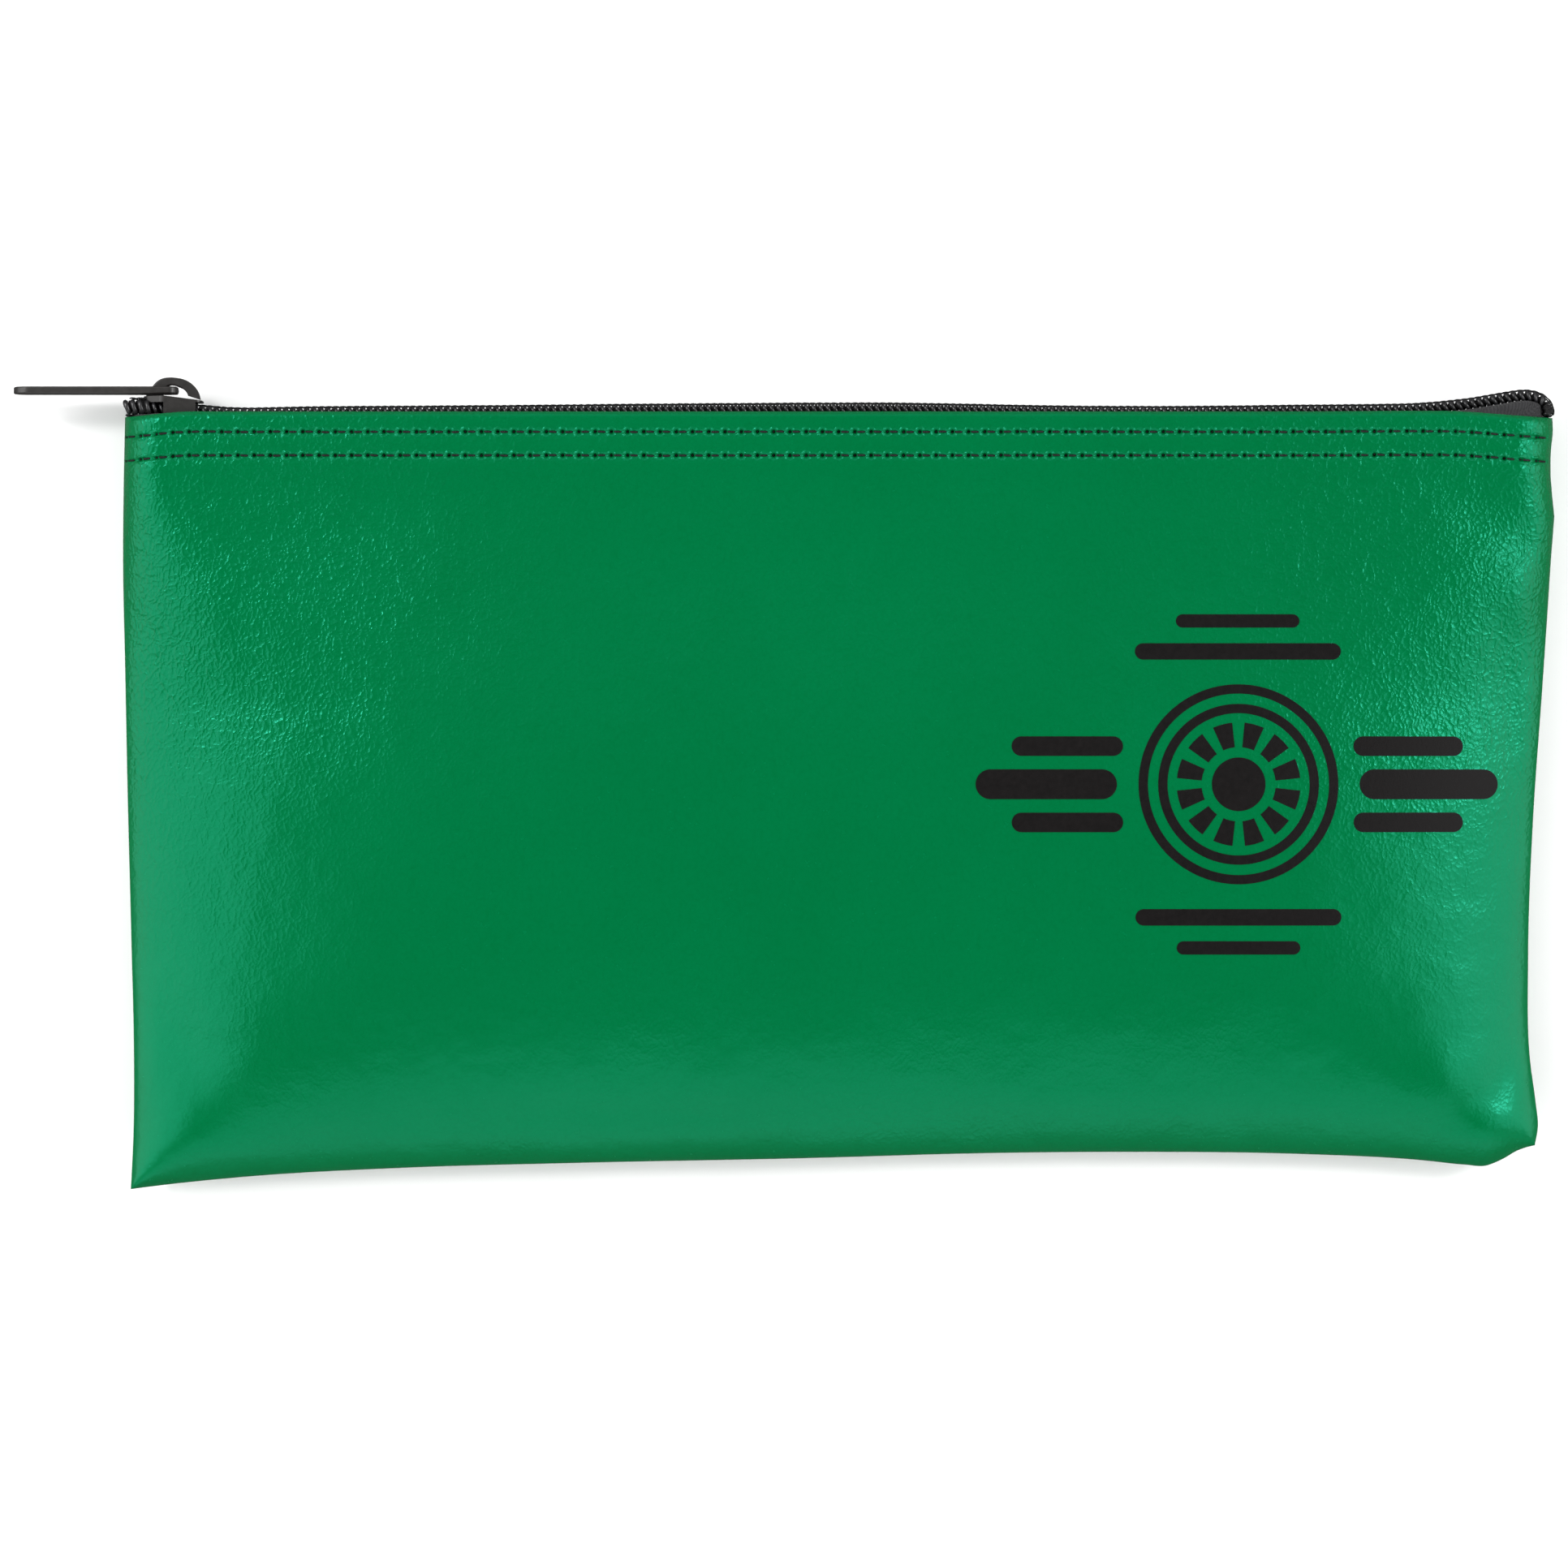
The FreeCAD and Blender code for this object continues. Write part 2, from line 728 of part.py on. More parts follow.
def build_pull():
    """The flat pull tab: an eye around the crown's foot, whose round bar it turns on, then a long
    tab with a rounded end."""
    body = new_body("pull_tab")
    low, high = pivot_y - size.pull_thick / 2, pivot_y + size.pull_thick / 2
    side, bar, corner = size.pull_width / 2, size.eye_bar / 2, size.pull_corner
    eye_end = pivot_x - bar - size.eye_length
    tip = pivot_x - size.pull_reach
    pad_up(body, "plate", low, high, [
        (pivot_x + bar, -side + corner),
        (pivot_x + bar, side - corner, corner),
        (pivot_x + bar - corner, side),
        (tip + side, side, side),
        (tip, Dim(0), side),
        (tip + side, -side),
        (pivot_x + bar - corner, -side, corner),
    ])
    hole, inner = size.eye_width / 2, size.eye_corner
    cut_up(body, "eye", low - 0.5, high + 0.5, [
        (pivot_x - bar, -hole),
        (pivot_x - bar, hole),
        (eye_end + inner, hole, inner),
        (eye_end, hole - inner),
        (eye_end, -hole + inner, inner),
        (eye_end + inner, -hole),
    ])
    round_edges(body, "rims", 0.35, is_pull_rim)
    pin = size.pull_pin / 2
    pad_across(body, "bar", size.pull_width - 1, [
        (pivot_x + pin, pivot_y, pin),
        (pivot_x, pivot_y + pin, pin),
        (pivot_x - pin, pivot_y, pin),
        (pivot_x, pivot_y - pin, pin),
    ])
    return body


def is_pull_rim(edge):
    """Edges around both flat faces of the pull."""
    box = edge.BoundBox
    low = (pivot_y - size.pull_thick / 2).value
    high = (pivot_y + size.pull_thick / 2).value
    return box.YLength < 0.01 and (abs(box.YMin - low) < 0.01 or abs(box.YMin - high) < 0.01)


# ---- the whole bag ---------------------------------------------------------------------------

def build_all():
    parts = [build_front_panel(), build_back_panel()]
    for side, sign, lip in (("front", 1, size.front_lip), ("back", -1, size.back_lip)):
        parts += [
            zipper_tape(f"{side}_zipper_tape", sign, lip),
            zipper_coil(f"{side}_coil", sign),
            coil_core(f"{side}_coil_core", sign),
            coil_stitching(f"{side}_coil_stitching", sign),
            hem_stitching(f"{side}_upper_stitching", sign, lip, size.upper_row),
            hem_stitching(f"{side}_lower_stitching", sign, lip, size.lower_row),
        ]
    parts += [
        seam_stitching("seam_stitching"),
        end_tack("left_end_tack", -half_width + size.coil_end + 0.1),
        end_tack("right_end_tack", half_width - size.coil_end - 0.1 - size.tack_length),
        build_slider(),
        build_pull(),
    ]
    return parts


def check(parts):
    """Stops if a feature failed or a sub-part isn't sound."""
    for item in doc.Objects:
        faults = {"Invalid", "Error"} & set(item.State)
        if faults:
            raise RuntimeError(f"{item.Name} is {faults}")
    for part in parts:
        shape = part.Shape
        if shape.isNull() or not shape.isValid() or not shape.Solids:
            raise RuntimeError(f"{part.Label} is null, invalid or has no solid")


def export(parts):
    os.makedirs("parts", exist_ok=True)
    for part in parts:
        part.Shape.exportStep(f"parts/{part.Label}.step")
        print(f"{part.Label}: {len(part.Shape.Solids)} solid, {part.Shape.Volume:.1f} mm3")


bag_parts = build_all()
doc.recompute()
check(bag_parts)
export(bag_parts)
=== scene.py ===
"""Looks of a zippered vinyl cash deposit bag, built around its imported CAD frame.

Lengths in the shape code are millimetres; meshes are written in metres. Heights are measured from
the parting plane, where the front and back panels meet.
"""
import math
import bmesh
import bpy
import numpy as np
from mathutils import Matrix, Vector


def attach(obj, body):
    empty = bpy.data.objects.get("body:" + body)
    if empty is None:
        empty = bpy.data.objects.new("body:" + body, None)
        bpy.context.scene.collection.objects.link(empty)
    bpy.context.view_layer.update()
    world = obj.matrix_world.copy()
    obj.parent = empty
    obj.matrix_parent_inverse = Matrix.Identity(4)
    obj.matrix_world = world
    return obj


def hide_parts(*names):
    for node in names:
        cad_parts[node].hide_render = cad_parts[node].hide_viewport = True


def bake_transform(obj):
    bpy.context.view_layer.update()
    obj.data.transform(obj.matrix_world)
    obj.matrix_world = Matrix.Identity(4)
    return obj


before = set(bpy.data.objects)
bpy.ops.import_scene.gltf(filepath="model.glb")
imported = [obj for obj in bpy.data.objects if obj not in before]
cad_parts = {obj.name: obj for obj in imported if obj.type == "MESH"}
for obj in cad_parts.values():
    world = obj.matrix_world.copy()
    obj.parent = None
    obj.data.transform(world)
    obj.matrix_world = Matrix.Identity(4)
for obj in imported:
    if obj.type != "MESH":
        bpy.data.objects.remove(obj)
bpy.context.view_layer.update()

MM = 0.001
HALF = 139.7      # from the bag's middle to its side seams
PARTING = 8.2     # height of the parting plane over the table
GAP = 0.15        # from the parting plane to each panel
HEM_TOP = 75.8
HEM_FOOT = 64.0
VINYL = 0.8       # thickness of the vinyl
FOLD_GAP = 0.1    # between the hem's layers
SIDE_ROLL = 9.0   # width along the sides where a panel's columns are closest
COLUMN_STEP = 0.26
ROWS = (HEM_TOP - 4.0, HEM_TOP - 8.6)   # the hem's two rows of stitching
STITCH = 3.16     # length of one stitch
FRONT = {"sign": 1, "rise": 14.4, "lip": 7.8, "rolls": (62.0, 50.0)}
BACK = {"sign": -1, "rise": 8.4, "lip": 7.4, "rolls": (34.0, 30.0)}
rng = np.random.default_rng(20)


# ---- curves and outlines -----------------------------------------------------------------------

def spline(points, along=0):
    """A smooth single-valued curve through points, read at places along one coordinate."""
    knots = np.array(sorted(points, key=lambda p: p[along]), float)
    t, v = knots[:, along], knots[:, 1 - along]
    slopes = np.gradient(v, t)

    def read(place):
        place = np.clip(place, t[0], t[-1])
        i = np.clip(np.searchsorted(t, place) - 1, 0, len(t) - 2)
        span = t[i + 1] - t[i]
        s = (place - t[i]) / span
        return ((2 * s**3 - 3 * s**2 + 1) * v[i] + (s**3 - 2 * s**2 + s) * span * slopes[i]
                + (3 * s**2 - 2 * s**3) * v[i + 1] + (s**3 - s**2) * span * slopes[i + 1])

    return read


left_of = spline([(-138.4, -76.0), (-137.9, -66.0), (-137.8, -48.0), (-138.3, -27.0),
                  (-139.1, 5.0), (-139.5, 26.0), (-139.9, 45.0), (-139.7, 66.0),
                  (-139.5, 75.8)], 1)
right_of = spline([(136.2, -67.4), (136.8, -64.0), (136.3, -58.5), (135.3, -51.0), (134.9, -31.0),
                   (135.9, -3.0), (137.6, 21.0), (138.7, 37.0), (139.6, 51.0), (140.0, 56.5),
                   (139.4, 62.0), (139.3, 69.0), (139.7, 74.0), (139.6, 75.8)], 1)
bottom_of = spline([(-138.4, -76.0), (-132.2, -75.2), (-116.4, -73.6), (-84.6, -71.8),
                    (-52.9, -70.9), (-5.2, -69.9), (26.5, -69.0), (58.3, -68.7), (90.0, -69.1),
                    (113.8, -70.3), (122.5, -71.2), (126.6, -71.4), (129.7, -70.2), (132.9, -68.4),
                    (134.6, -67.8), (136.2, -67.4)], 0)


def smooth_step(low, high, value):
    """0 up to `low`, 1 from `high`, and smooth between them; `high` may be the lower one."""
    s = np.clip((value - low) / (high - low), 0, 1)
    return s * s * (3 - 2 * s)


def from_sides(x, y):
    """Distance to the nearer side seam."""
    return np.minimum(x - left_of(y), right_of(y) - x)


def bump_at(x, y, cx, cy, rx, ry, turn=0.0):
    """A soft round swelling, 1 at its centre."""
    c, s = math.cos(turn), math.sin(turn)
    u = ((x - cx) * c + (y - cy) * s) / rx
    v = (-(x - cx) * s + (y - cy) * c) / ry
    return np.exp(-(u * u + v * v))


# ---- the vinyl panels' shape ---------------------------------------------------------------------

def panel_rise(x, y, panel, inset):
    """Height of a stuffed panel over the parting plane, the same swelling as the CAD panel's."""
    rise, lip = panel["rise"] - inset, panel["lip"] - inset
    neck = smooth_step(-5.0, HEM_FOOT, y)
    crest = rise + (lip - rise) * neck
    side_roll, bottom_roll = panel["rolls"]
    roll = side_roll + (lip - side_roll) * smooth_step(20.0, HEM_FOOT, y) ** 0.6
    power = 0.7 - 0.2 * neck
    side = np.clip((from_sides(x, y) - inset) / roll, 0, 1)
    bottom = np.clip((y - bottom_of(x) - inset) / bottom_roll, 0, 1)
    swell_side = np.maximum(1 - (1 - side) ** 2, 1e-4)
    swell_bottom = np.maximum(1 - (1 - bottom) ** 2, 1e-4)
    joined = (swell_side ** -3 + swell_bottom ** -3 - 1) ** (-1 / 3)
    return crest * np.where(joined < 2e-4, 0, joined ** power)


# Soft dents (below 0) and swellings of the front panel: height, centre, radii, turn.
DENTS = [
    (-1.3, (131, 53), (10, 7), -0.3), (0.9, (135, 41), (7, 6), -0.3),
    (-0.5, (131, 18), (4, 18), 0.1), (0.4, (112, 56), (14, 6), -0.2),
    (-0.7, (126, -58), (5, 12), -0.9), (0.4, (117, -56), (7, 10), -0.7),
    (-0.5, (-126, -50), (6, 16), 0.4), (0.4, (-124, 40), (9, 16), 0.2),
    (-0.4, (-40, -62), (36, 4), 0.02), (0.3, (60, -60), (40, 5), -0.03),
    (-0.35, (-100, 52), (26, 4), 0.05), (0.3, (20, 54), (60, 5), 0.0),
    (0.35, (-60, 10), (50, 30), 0.3), (-0.3, (40, -15), (60, 25), -0.2),
]


def slack(x, y, panel):
    """Height that the dents and swellings add to the front panel, none of it at the seams."""
    if panel["sign"] < 0:
        return 0.0
    free = smooth_step(0, 7, from_sides(x, y)) * smooth_step(0, 14, y - bottom_of(x))
    return free * sum(height * bump_at(x, y, *centre, *radii, turn)
                      for height, centre, radii, turn in DENTS)


def hem_sag(x):
    """How far the hem drops towards its two ends."""
    return (-0.9 * smooth_step(-126.0, -139.0, x) - 1.1 * smooth_step(118.0, 139.5, x)
            + 0.12 * np.exp(-((x - 112) / 14) ** 2))


def hem_relief(x, y):
    """Height that the hem's sewing adds: thicker where it is folded, rounded at its top edge,
    drawn in along the rows, and pierced at every stitch with a raised rim round the hole."""
    fold, top_edge, edge_width = 0.3, 0.9, 1.1
    rim, rim_radius, hole_depth, hole_radius = 0.45, 0.62, 0.6, 0.36
    out = fold * smooth_step(HEM_FOOT - 1.5, HEM_FOOT + 1.5, y)
    out = out - top_edge * np.clip(1 - (HEM_TOP - y) / edge_width, 0, 1) ** 2
    phase = x / STITCH - np.floor(x / STITCH)
    past_hole = np.minimum(phase, 1 - phase) * STITCH
    for row in ROWS:
        off = y - row
        away = np.hypot(past_hole, off)
        valley = 0.24 * np.exp(-(off / 0.9) ** 2) + 0.2 * np.exp(-(off / 0.26) ** 2)
        ring = np.exp(-((away - rim_radius) / 0.2) ** 2)
        hole = np.exp(-(away / hole_radius) ** 2)
        out = out - valley + rim * ring - hole_depth * hole
    return out


def outer_point(x, y, panel, fine=True):
    """Height of the panel's outer face over the parting plane, with its hem's relief if fine."""
    z = GAP + panel_rise(x, y, panel, 0.0) + slack(x, y, panel)
    if fine:
        z = z + hem_relief(x, y) * smooth_step(0, 1.5, from_sides(x, y))
    return z


def columns(first, last):
    """Shares across the panel, closest together where its sides roll over."""
    inner = HALF - SIDE_ROLL
    middle = np.linspace(-inner, inner, int(2 * inner / COLUMN_STEP))
    turn = np.linspace(0, math.pi / 2, 26)[:-1]
    roll = SIDE_ROLL * (1 - np.cos(turn))
    places = np.concatenate([-HALF + roll, middle, (HALF - roll)[::-1]])
    shares = (places + HALF) / (2 * HALF)
    kept = shares[(shares >= first - 1e-9) & (shares <= last + 1e-9)]
    if first > 0.01 and kept[0] > first + 1e-9:
        kept = np.concatenate([[first], kept])
    if last < 0.99 and kept[-1] < last - 1e-9:
        kept = np.concatenate([kept, [last]])
    return kept


def levels():
    """Shares up the panel below its hem, then heights over the hem's foot.

    The heights lie closest together along the rows of stitching and at the hem's top edge.
    """
    lower = 1 - np.cos(np.linspace(0, math.pi / 2, 54))
    upper = [0.5, 1.2, 1.8, 5.0, 5.35, 5.7, 9.6, 10.0, 10.4, 10.8, 11.1, 11.35, 11.55, 11.7, 11.8]
    for row in ROWS:
        upper += list(row - HEM_FOOT + np.arange(-1.1, 1.11, 0.2))
    return lower, np.array(sorted(upper))


def spread(shares, inset, lower, upper):
    """Places (x, y) of a panel face's grid, from the bottom seam to the top of the hem."""
    rise = np.r_[lower, np.ones(len(upper))][None, :]
    above = np.r_[np.zeros(len(lower)), upper][None, :]
    x = left_of(0) + (right_of(0) - left_of(0)) * shares[:, None] + 0 * rise
    for _ in range(4):   # the outlines depend on both x and y, so each settles the other
        y = (bottom_of(x) + inset) * (1 - rise) + HEM_FOOT * rise + above
        x = (left_of(y) + inset) * (1 - shares[:, None]) + (right_of(y) - inset) * shares[:, None]
    return x, y


def sagged(points):
    """Lets the ends of the hem drop, and with them the panel just below it."""
    points = np.array(points)
    points[..., 1] += hem_sag(points[..., 0]) * smooth_step(40.0, 68.0, points[..., 1])
    return points


def panel_points(panel, first, last):
    """The closed section of a panel at each column: outer face, turned hem and inner face."""
    shares = columns(first, last)

    def placed(x, y, z):
        """Points of one face, brought down to the parting plane at the side seam."""
        if first < 0.01:
            z[0, :] = GAP
        if last > 0.99:
            z[-1, :] = GAP
        return np.stack([x, y, z], -1)

    def face(inset, lower, upper):
        """A smooth face that lies `inset` deep in the panel."""
        x, y = spread(shares, inset, lower, upper)
        return placed(x, y, GAP + panel_rise(x, y, panel, inset) + slack(x, y, panel))

    lower, upper = levels()
    x, y = spread(shares, 0.0, lower, upper)
    outer = placed(x, y, outer_point(x, y, panel))
    outer[:, 0, 2] = GAP
    hem = np.array([1.0])
    turned_down = np.array([0.8, 6.0, 10.6])
    under_fold = face(2 * VINYL + FOLD_GAP, hem, np.array([11.3, 11.7]))[:, 1:]
    fold_inside = face(2 * VINYL + FOLD_GAP, hem, turned_down)[:, 1:]
    fold_outside = face(VINYL + FOLD_GAP, hem, turned_down)[:, 1:]
    inner = face(VINYL, 1 - np.cos(np.linspace(0, math.pi / 2, 20)), np.array([6.0, 11.0]))
    inner[:, 0, 2] = GAP
    points = np.concatenate([outer, under_fold[:, ::-1], fold_inside[:, ::-1], fold_outside,
                             inner[:, ::-1]], 1)
    points[..., 2] *= panel["sign"]
    points[..., 2] += PARTING
    if panel["sign"] < 0:
        points[..., 2] = np.maximum(points[..., 2], 0.0)
    return sagged(points)


# ---- mesh building -------------------------------------------------------------------------------

def piece_name(name):
    """The name of a visual piece, kept apart from the hidden CAD node's own."""
    return f"{name}_piece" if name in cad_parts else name


def make_mesh(name, points, quads, material):
    """A mesh object from points in millimetres and an array of quads."""
    mesh = bpy.data.meshes.new(name)
    points = np.asarray(points, float).reshape(-1, 3)
    quads = np.asarray(quads, np.int64)
    corners = quads.shape[1]
    mesh.vertices.add(len(points))
    mesh.vertices.foreach_set("co", (points * MM).astype(np.float32).ravel())
    mesh.loops.add(quads.size)
    mesh.loops.foreach_set("vertex_index", quads.astype(np.int32).ravel())
    mesh.polygons.add(len(quads))
    mesh.polygons.foreach_set("loop_start", np.arange(0, quads.size, corners, dtype=np.int32))
    mesh.polygons.foreach_set("loop_total", np.full(len(quads), corners, np.int32))
    rest = mesh.attributes.new("rest", "FLOAT_VECTOR", "POINT")
    rest.data.foreach_set("vector", points.astype(np.float32).ravel())
    mesh.update(calc_edges=True)
    mesh.validate()
    mesh.polygons.foreach_set("use_smooth", np.full(len(mesh.polygons), True))
    mesh.materials.append(material)
    obj = bpy.data.objects.new(piece_name(name), mesh)
    bpy.context.scene.collection.objects.link(obj)
    return obj


def grid_quads(rows, cols, wrap_cols=False, base=0, flip=False):
    """Quads of a grid stored row by row."""
    i = np.arange(rows - 1)
    j = np.arange(cols if wrap_cols else cols - 1)
    i, j = [a.ravel() for a in np.meshgrid(i, j, indexing="ij")]
    a, b = i * cols + j, i * cols + (j + 1) % cols
    c, d = (i + 1) * cols + (j + 1) % cols, (i + 1) * cols + j
    quads = np.stack([a, b, c, d], -1) + base
    return quads[:, ::-1] if flip else quads


def sweep(path, across, up, section):
    """Points of a section (u, v) carried along a path with the two side directions given."""
    path, across, up = [np.asarray(a, float) for a in (path, across, up)]
    section = np.asarray(section, float)
    return (path[:, None] + across[:, None] * section[None, :, :1]
            + up[:, None] * section[None, :, 1:])


def tube_frames(path):
    """Two side directions at each point of a path that never runs along both axes at once."""
    tangent = np.gradient(path, axis=0)
    tangent /= np.linalg.norm(tangent, axis=1, keepdims=True)
    side = np.zeros_like(tangent)
    side[0] = np.cross(tangent[0], [0.3, 0.5, 0.8])
    side[0] /= np.linalg.norm(side[0])
    for i in range(1, len(path)):
        step = side[i - 1] - tangent[i] * np.dot(side[i - 1], tangent[i])
        side[i] = step / np.linalg.norm(step)
    return side, np.cross(tangent, side)


def tube_points(path, radius, sides):
    """Rings of points round a path, of one radius or of one for each of its points."""
    turn = np.linspace(0, 2 * np.pi, sides, endpoint=False)
    section = np.stack([np.cos(turn), np.sin(turn)], -1)
    across, up = tube_frames(path)
    radius = np.broadcast_to(radius, len(path))[:, None]
    return sweep(path, across * radius, up * radius, section)


def tubes(name, paths, radius, sides, material):
    """One mesh of closed tubes along several paths of equal length."""
    points, quads, base = [], [], 0
    for path in paths:
        count = len(path)
        taper = np.ones(count)
        taper[[0, -1]] = 0.25
        ring = tube_points(path, radius * taper, sides)
        points.append(ring.reshape(-1, 3))
        quads.append(grid_quads(count, sides, wrap_cols=True, base=base))
        base += count * sides
    return make_mesh(name, np.concatenate(points), np.concatenate(quads), material)


# ---- materials -----------------------------------------------------------------------------------

class Nodes:
    """Short-hand for building one procedural material."""

    def __init__(self, name):
        """Starts from a new material's own Principled shader."""
        self.material = bpy.data.materials.new(name)
        self.material.use_nodes = True
        self.tree = self.material.node_tree
        self.shader = self.tree.nodes["Principled BSDF"]

    def add(self, kind, inputs=None, **settings):
        """A new node with its inputs fed and its settings made."""
        node = self.tree.nodes.new(kind)
        for key, value in settings.items():
            setattr(node, key, value)
        for key, value in (inputs or {}).items():
            self.feed(node.inputs[key], value)
        return node

    def feed(self, socket, value):
        """Links a socket to another one, or gives it a constant."""
        if isinstance(value, bpy.types.NodeSocket):
            self.tree.links.new(value, socket)
        else:
            socket.default_value = value

    def rest(self):
        """Place on the piece at rest, in millimetres, so patterns move with it."""
        return self.add("ShaderNodeAttribute", attribute_name="rest").outputs["Vector"]

    def scaled(self, vector, scale):
        node = self.add("ShaderNodeVectorMath", operation="MULTIPLY")
        self.feed(node.inputs[0], vector)
        self.feed(node.inputs[1], scale)
        return node.outputs[0]

    def math(self, operation, a, b=0.0):
        node = self.add("ShaderNodeMath", operation=operation)
        self.feed(node.inputs[0], a)
        self.feed(node.inputs[1], b)
        return node.outputs[0]

    def span(self, value, low, high):
        """0 up to `low`, 1 from `high`, and smooth between them."""
        node = self.add("ShaderNodeMapRange", {"From Min": low, "From Max": high},
                        interpolation_type="SMOOTHSTEP")
        self.feed(node.inputs["Value"], value)
        return node.outputs["Result"]

    def noise(self, vector, scale, detail=3.0, roughness=0.55, distortion=0.0):
        node = self.add("ShaderNodeTexNoise", {"Vector": vector, "Scale": scale, "Detail": detail,
                                               "Roughness": roughness, "Distortion": distortion})
        return node.outputs["Fac"]

    def ramp(self, value, stops):
        """Colour by value; a stop's shade is a colour or one number for a grey."""
        node = self.add("ShaderNodeValToRGB", {"Fac": value})
        elements = node.color_ramp.elements
        while len(elements) < len(stops):
            elements.new(0.5)
        for element, (place, shade) in zip(elements, stops):
            element.position = place
            element.color = (*shade, 1) if hasattr(shade, "__len__") else (shade, shade, shade, 1)
        return node.outputs["Color"]

    def bump(self, height, distance, strength=1.0, under=None):
        """A bumped normal, on top of the one `under` it."""
        inputs = {"Height": height, "Distance": distance, "Strength": strength}
        if under is not None:
            inputs["Normal"] = under
        return self.add("ShaderNodeBump", inputs).outputs["Normal"]

    def set(self, **inputs):
        """Feeds the shader's inputs; an underscore stands for a space in a name."""
        for key, value in inputs.items():
            self.feed(self.shader.inputs[key.replace("_", " ")], value)


def leather_grain(n, rest):
    """Height of the pressed leather grain: pebbles about a millimetre long, and finer pores."""
    warp = n.add("ShaderNodeTexNoise", {"Vector": rest, "Scale": 0.3, "Detail": 2.0})
    drift = n.add("ShaderNodeVectorMath", operation="MULTIPLY_ADD")
    n.feed(drift.inputs[0], warp.outputs["Color"])
    n.feed(drift.inputs[1], (2.4, 2.4, 2.4))
    n.feed(drift.inputs[2], rest)
    turned = n.add("ShaderNodeVectorRotate", {"Vector": drift.outputs[0], "Angle": 0.22})
    cells = n.add("ShaderNodeTexVoronoi", {"Vector": n.scaled(turned.outputs[0], (1.4, 1.2, 1.25)),
                                           "Scale": 1.0, "Randomness": 1.0}, feature="SMOOTH_F1")
    n.feed(cells.inputs["Smoothness"], 0.25)
    pebble = n.math("SUBTRACT", 1.0, n.math("POWER", cells.outputs["Distance"], 1.6))
    creases = n.noise(n.scaled(turned.outputs[0], (1.0, 0.7, 0.8)), 1.6, 3.0, 0.6, 0.3)
    pores = n.noise(rest, 4.5, 3.0, 0.6)
    height = n.math("ADD", pebble, n.math("MULTIPLY", creases, 0.16))
    return n.math("ADD", height, n.math("MULTIPLY", pores, 0.12)), pebble


def vinyl_material():
    """Green coated vinyl with a fine leather grain, deeper in some patches than in others."""
    n = Nodes("green_vinyl")
    rest = n.rest()
    grain, pebble = leather_grain(n, rest)
    split = n.add("ShaderNodeSeparateXYZ", {"Vector": rest})
    to_side = n.span(n.math("ABSOLUTE", split.outputs[0]), 35.0, 120.0)
    to_hem = n.span(split.outputs[1], -45.0, 45.0)
    patch = n.span(n.noise(rest, 0.04, 2.0), 0.3, 0.7)
    depth = n.math("ADD", n.math("MULTIPLY", n.math("MULTIPLY", to_side, to_hem), 0.6),
                   n.math("MULTIPLY", n.math("ADD", patch, to_hem), 0.2))
    depth = n.math("ADD", depth, 0.08)
    fine = n.add("ShaderNodeBump", {"Height": grain, "Distance": 0.00014, "Strength": depth})
    waves = n.noise(rest, 0.06, 3.0, 0.5)
    normal = n.bump(waves, 0.003, 0.2, fine.outputs["Normal"])
    tone = n.math("ADD", n.math("MULTIPLY", n.noise(rest, 0.03, 3.0), 0.6),
                  n.math("MULTIPLY", pebble, 0.3))
    colour = n.ramp(tone, [(0.3, (0.0, 0.110, 0.0285)), (0.75, (0.0, 0.123, 0.0345))])
    rough = n.math("ADD", 0.19, n.math("MULTIPLY", n.noise(rest, 0.6, 3.0), 0.12))
    n.set(Base_Color=colour, Roughness=rough, Normal=normal)
    n.shader.inputs["Specular Tint"].default_value = (0.07, 1.0, 0.70, 1)
    n.shader.inputs["IOR"].default_value = 1.46
    return n.material


def backing_material():
    """The knitted cloth backing on the inside of the vinyl."""
    n = Nodes("vinyl_backing")
    rest = n.rest()
    split = n.add("ShaderNodeSeparateXYZ", {"Vector": rest})
    wales = n.math("SINE", n.math("MULTIPLY", split.outputs[0], 2 * math.pi / 0.9))
    courses = n.math("SINE", n.math("MULTIPLY", split.outputs[1], 2 * math.pi / 0.7))
    knit = n.math("MULTIPLY", wales, courses)
    fuzz = n.noise(rest, 6.0, 3.0)
    height = n.math("ADD", knit, fuzz)
    colour = n.ramp(n.math("ADD", n.math("MULTIPLY", knit, 0.2), fuzz),
                    [(0.25, (0.010, 0.085, 0.035)), (0.85, (0.022, 0.125, 0.055))])
    n.set(Base_Color=colour, Normal=n.bump(height, 0.00008, 0.8))
    n.shader.inputs["Roughness"].default_value = 0.85
    n.shader.inputs["Sheen Weight"].default_value = 0.2
    return n.material


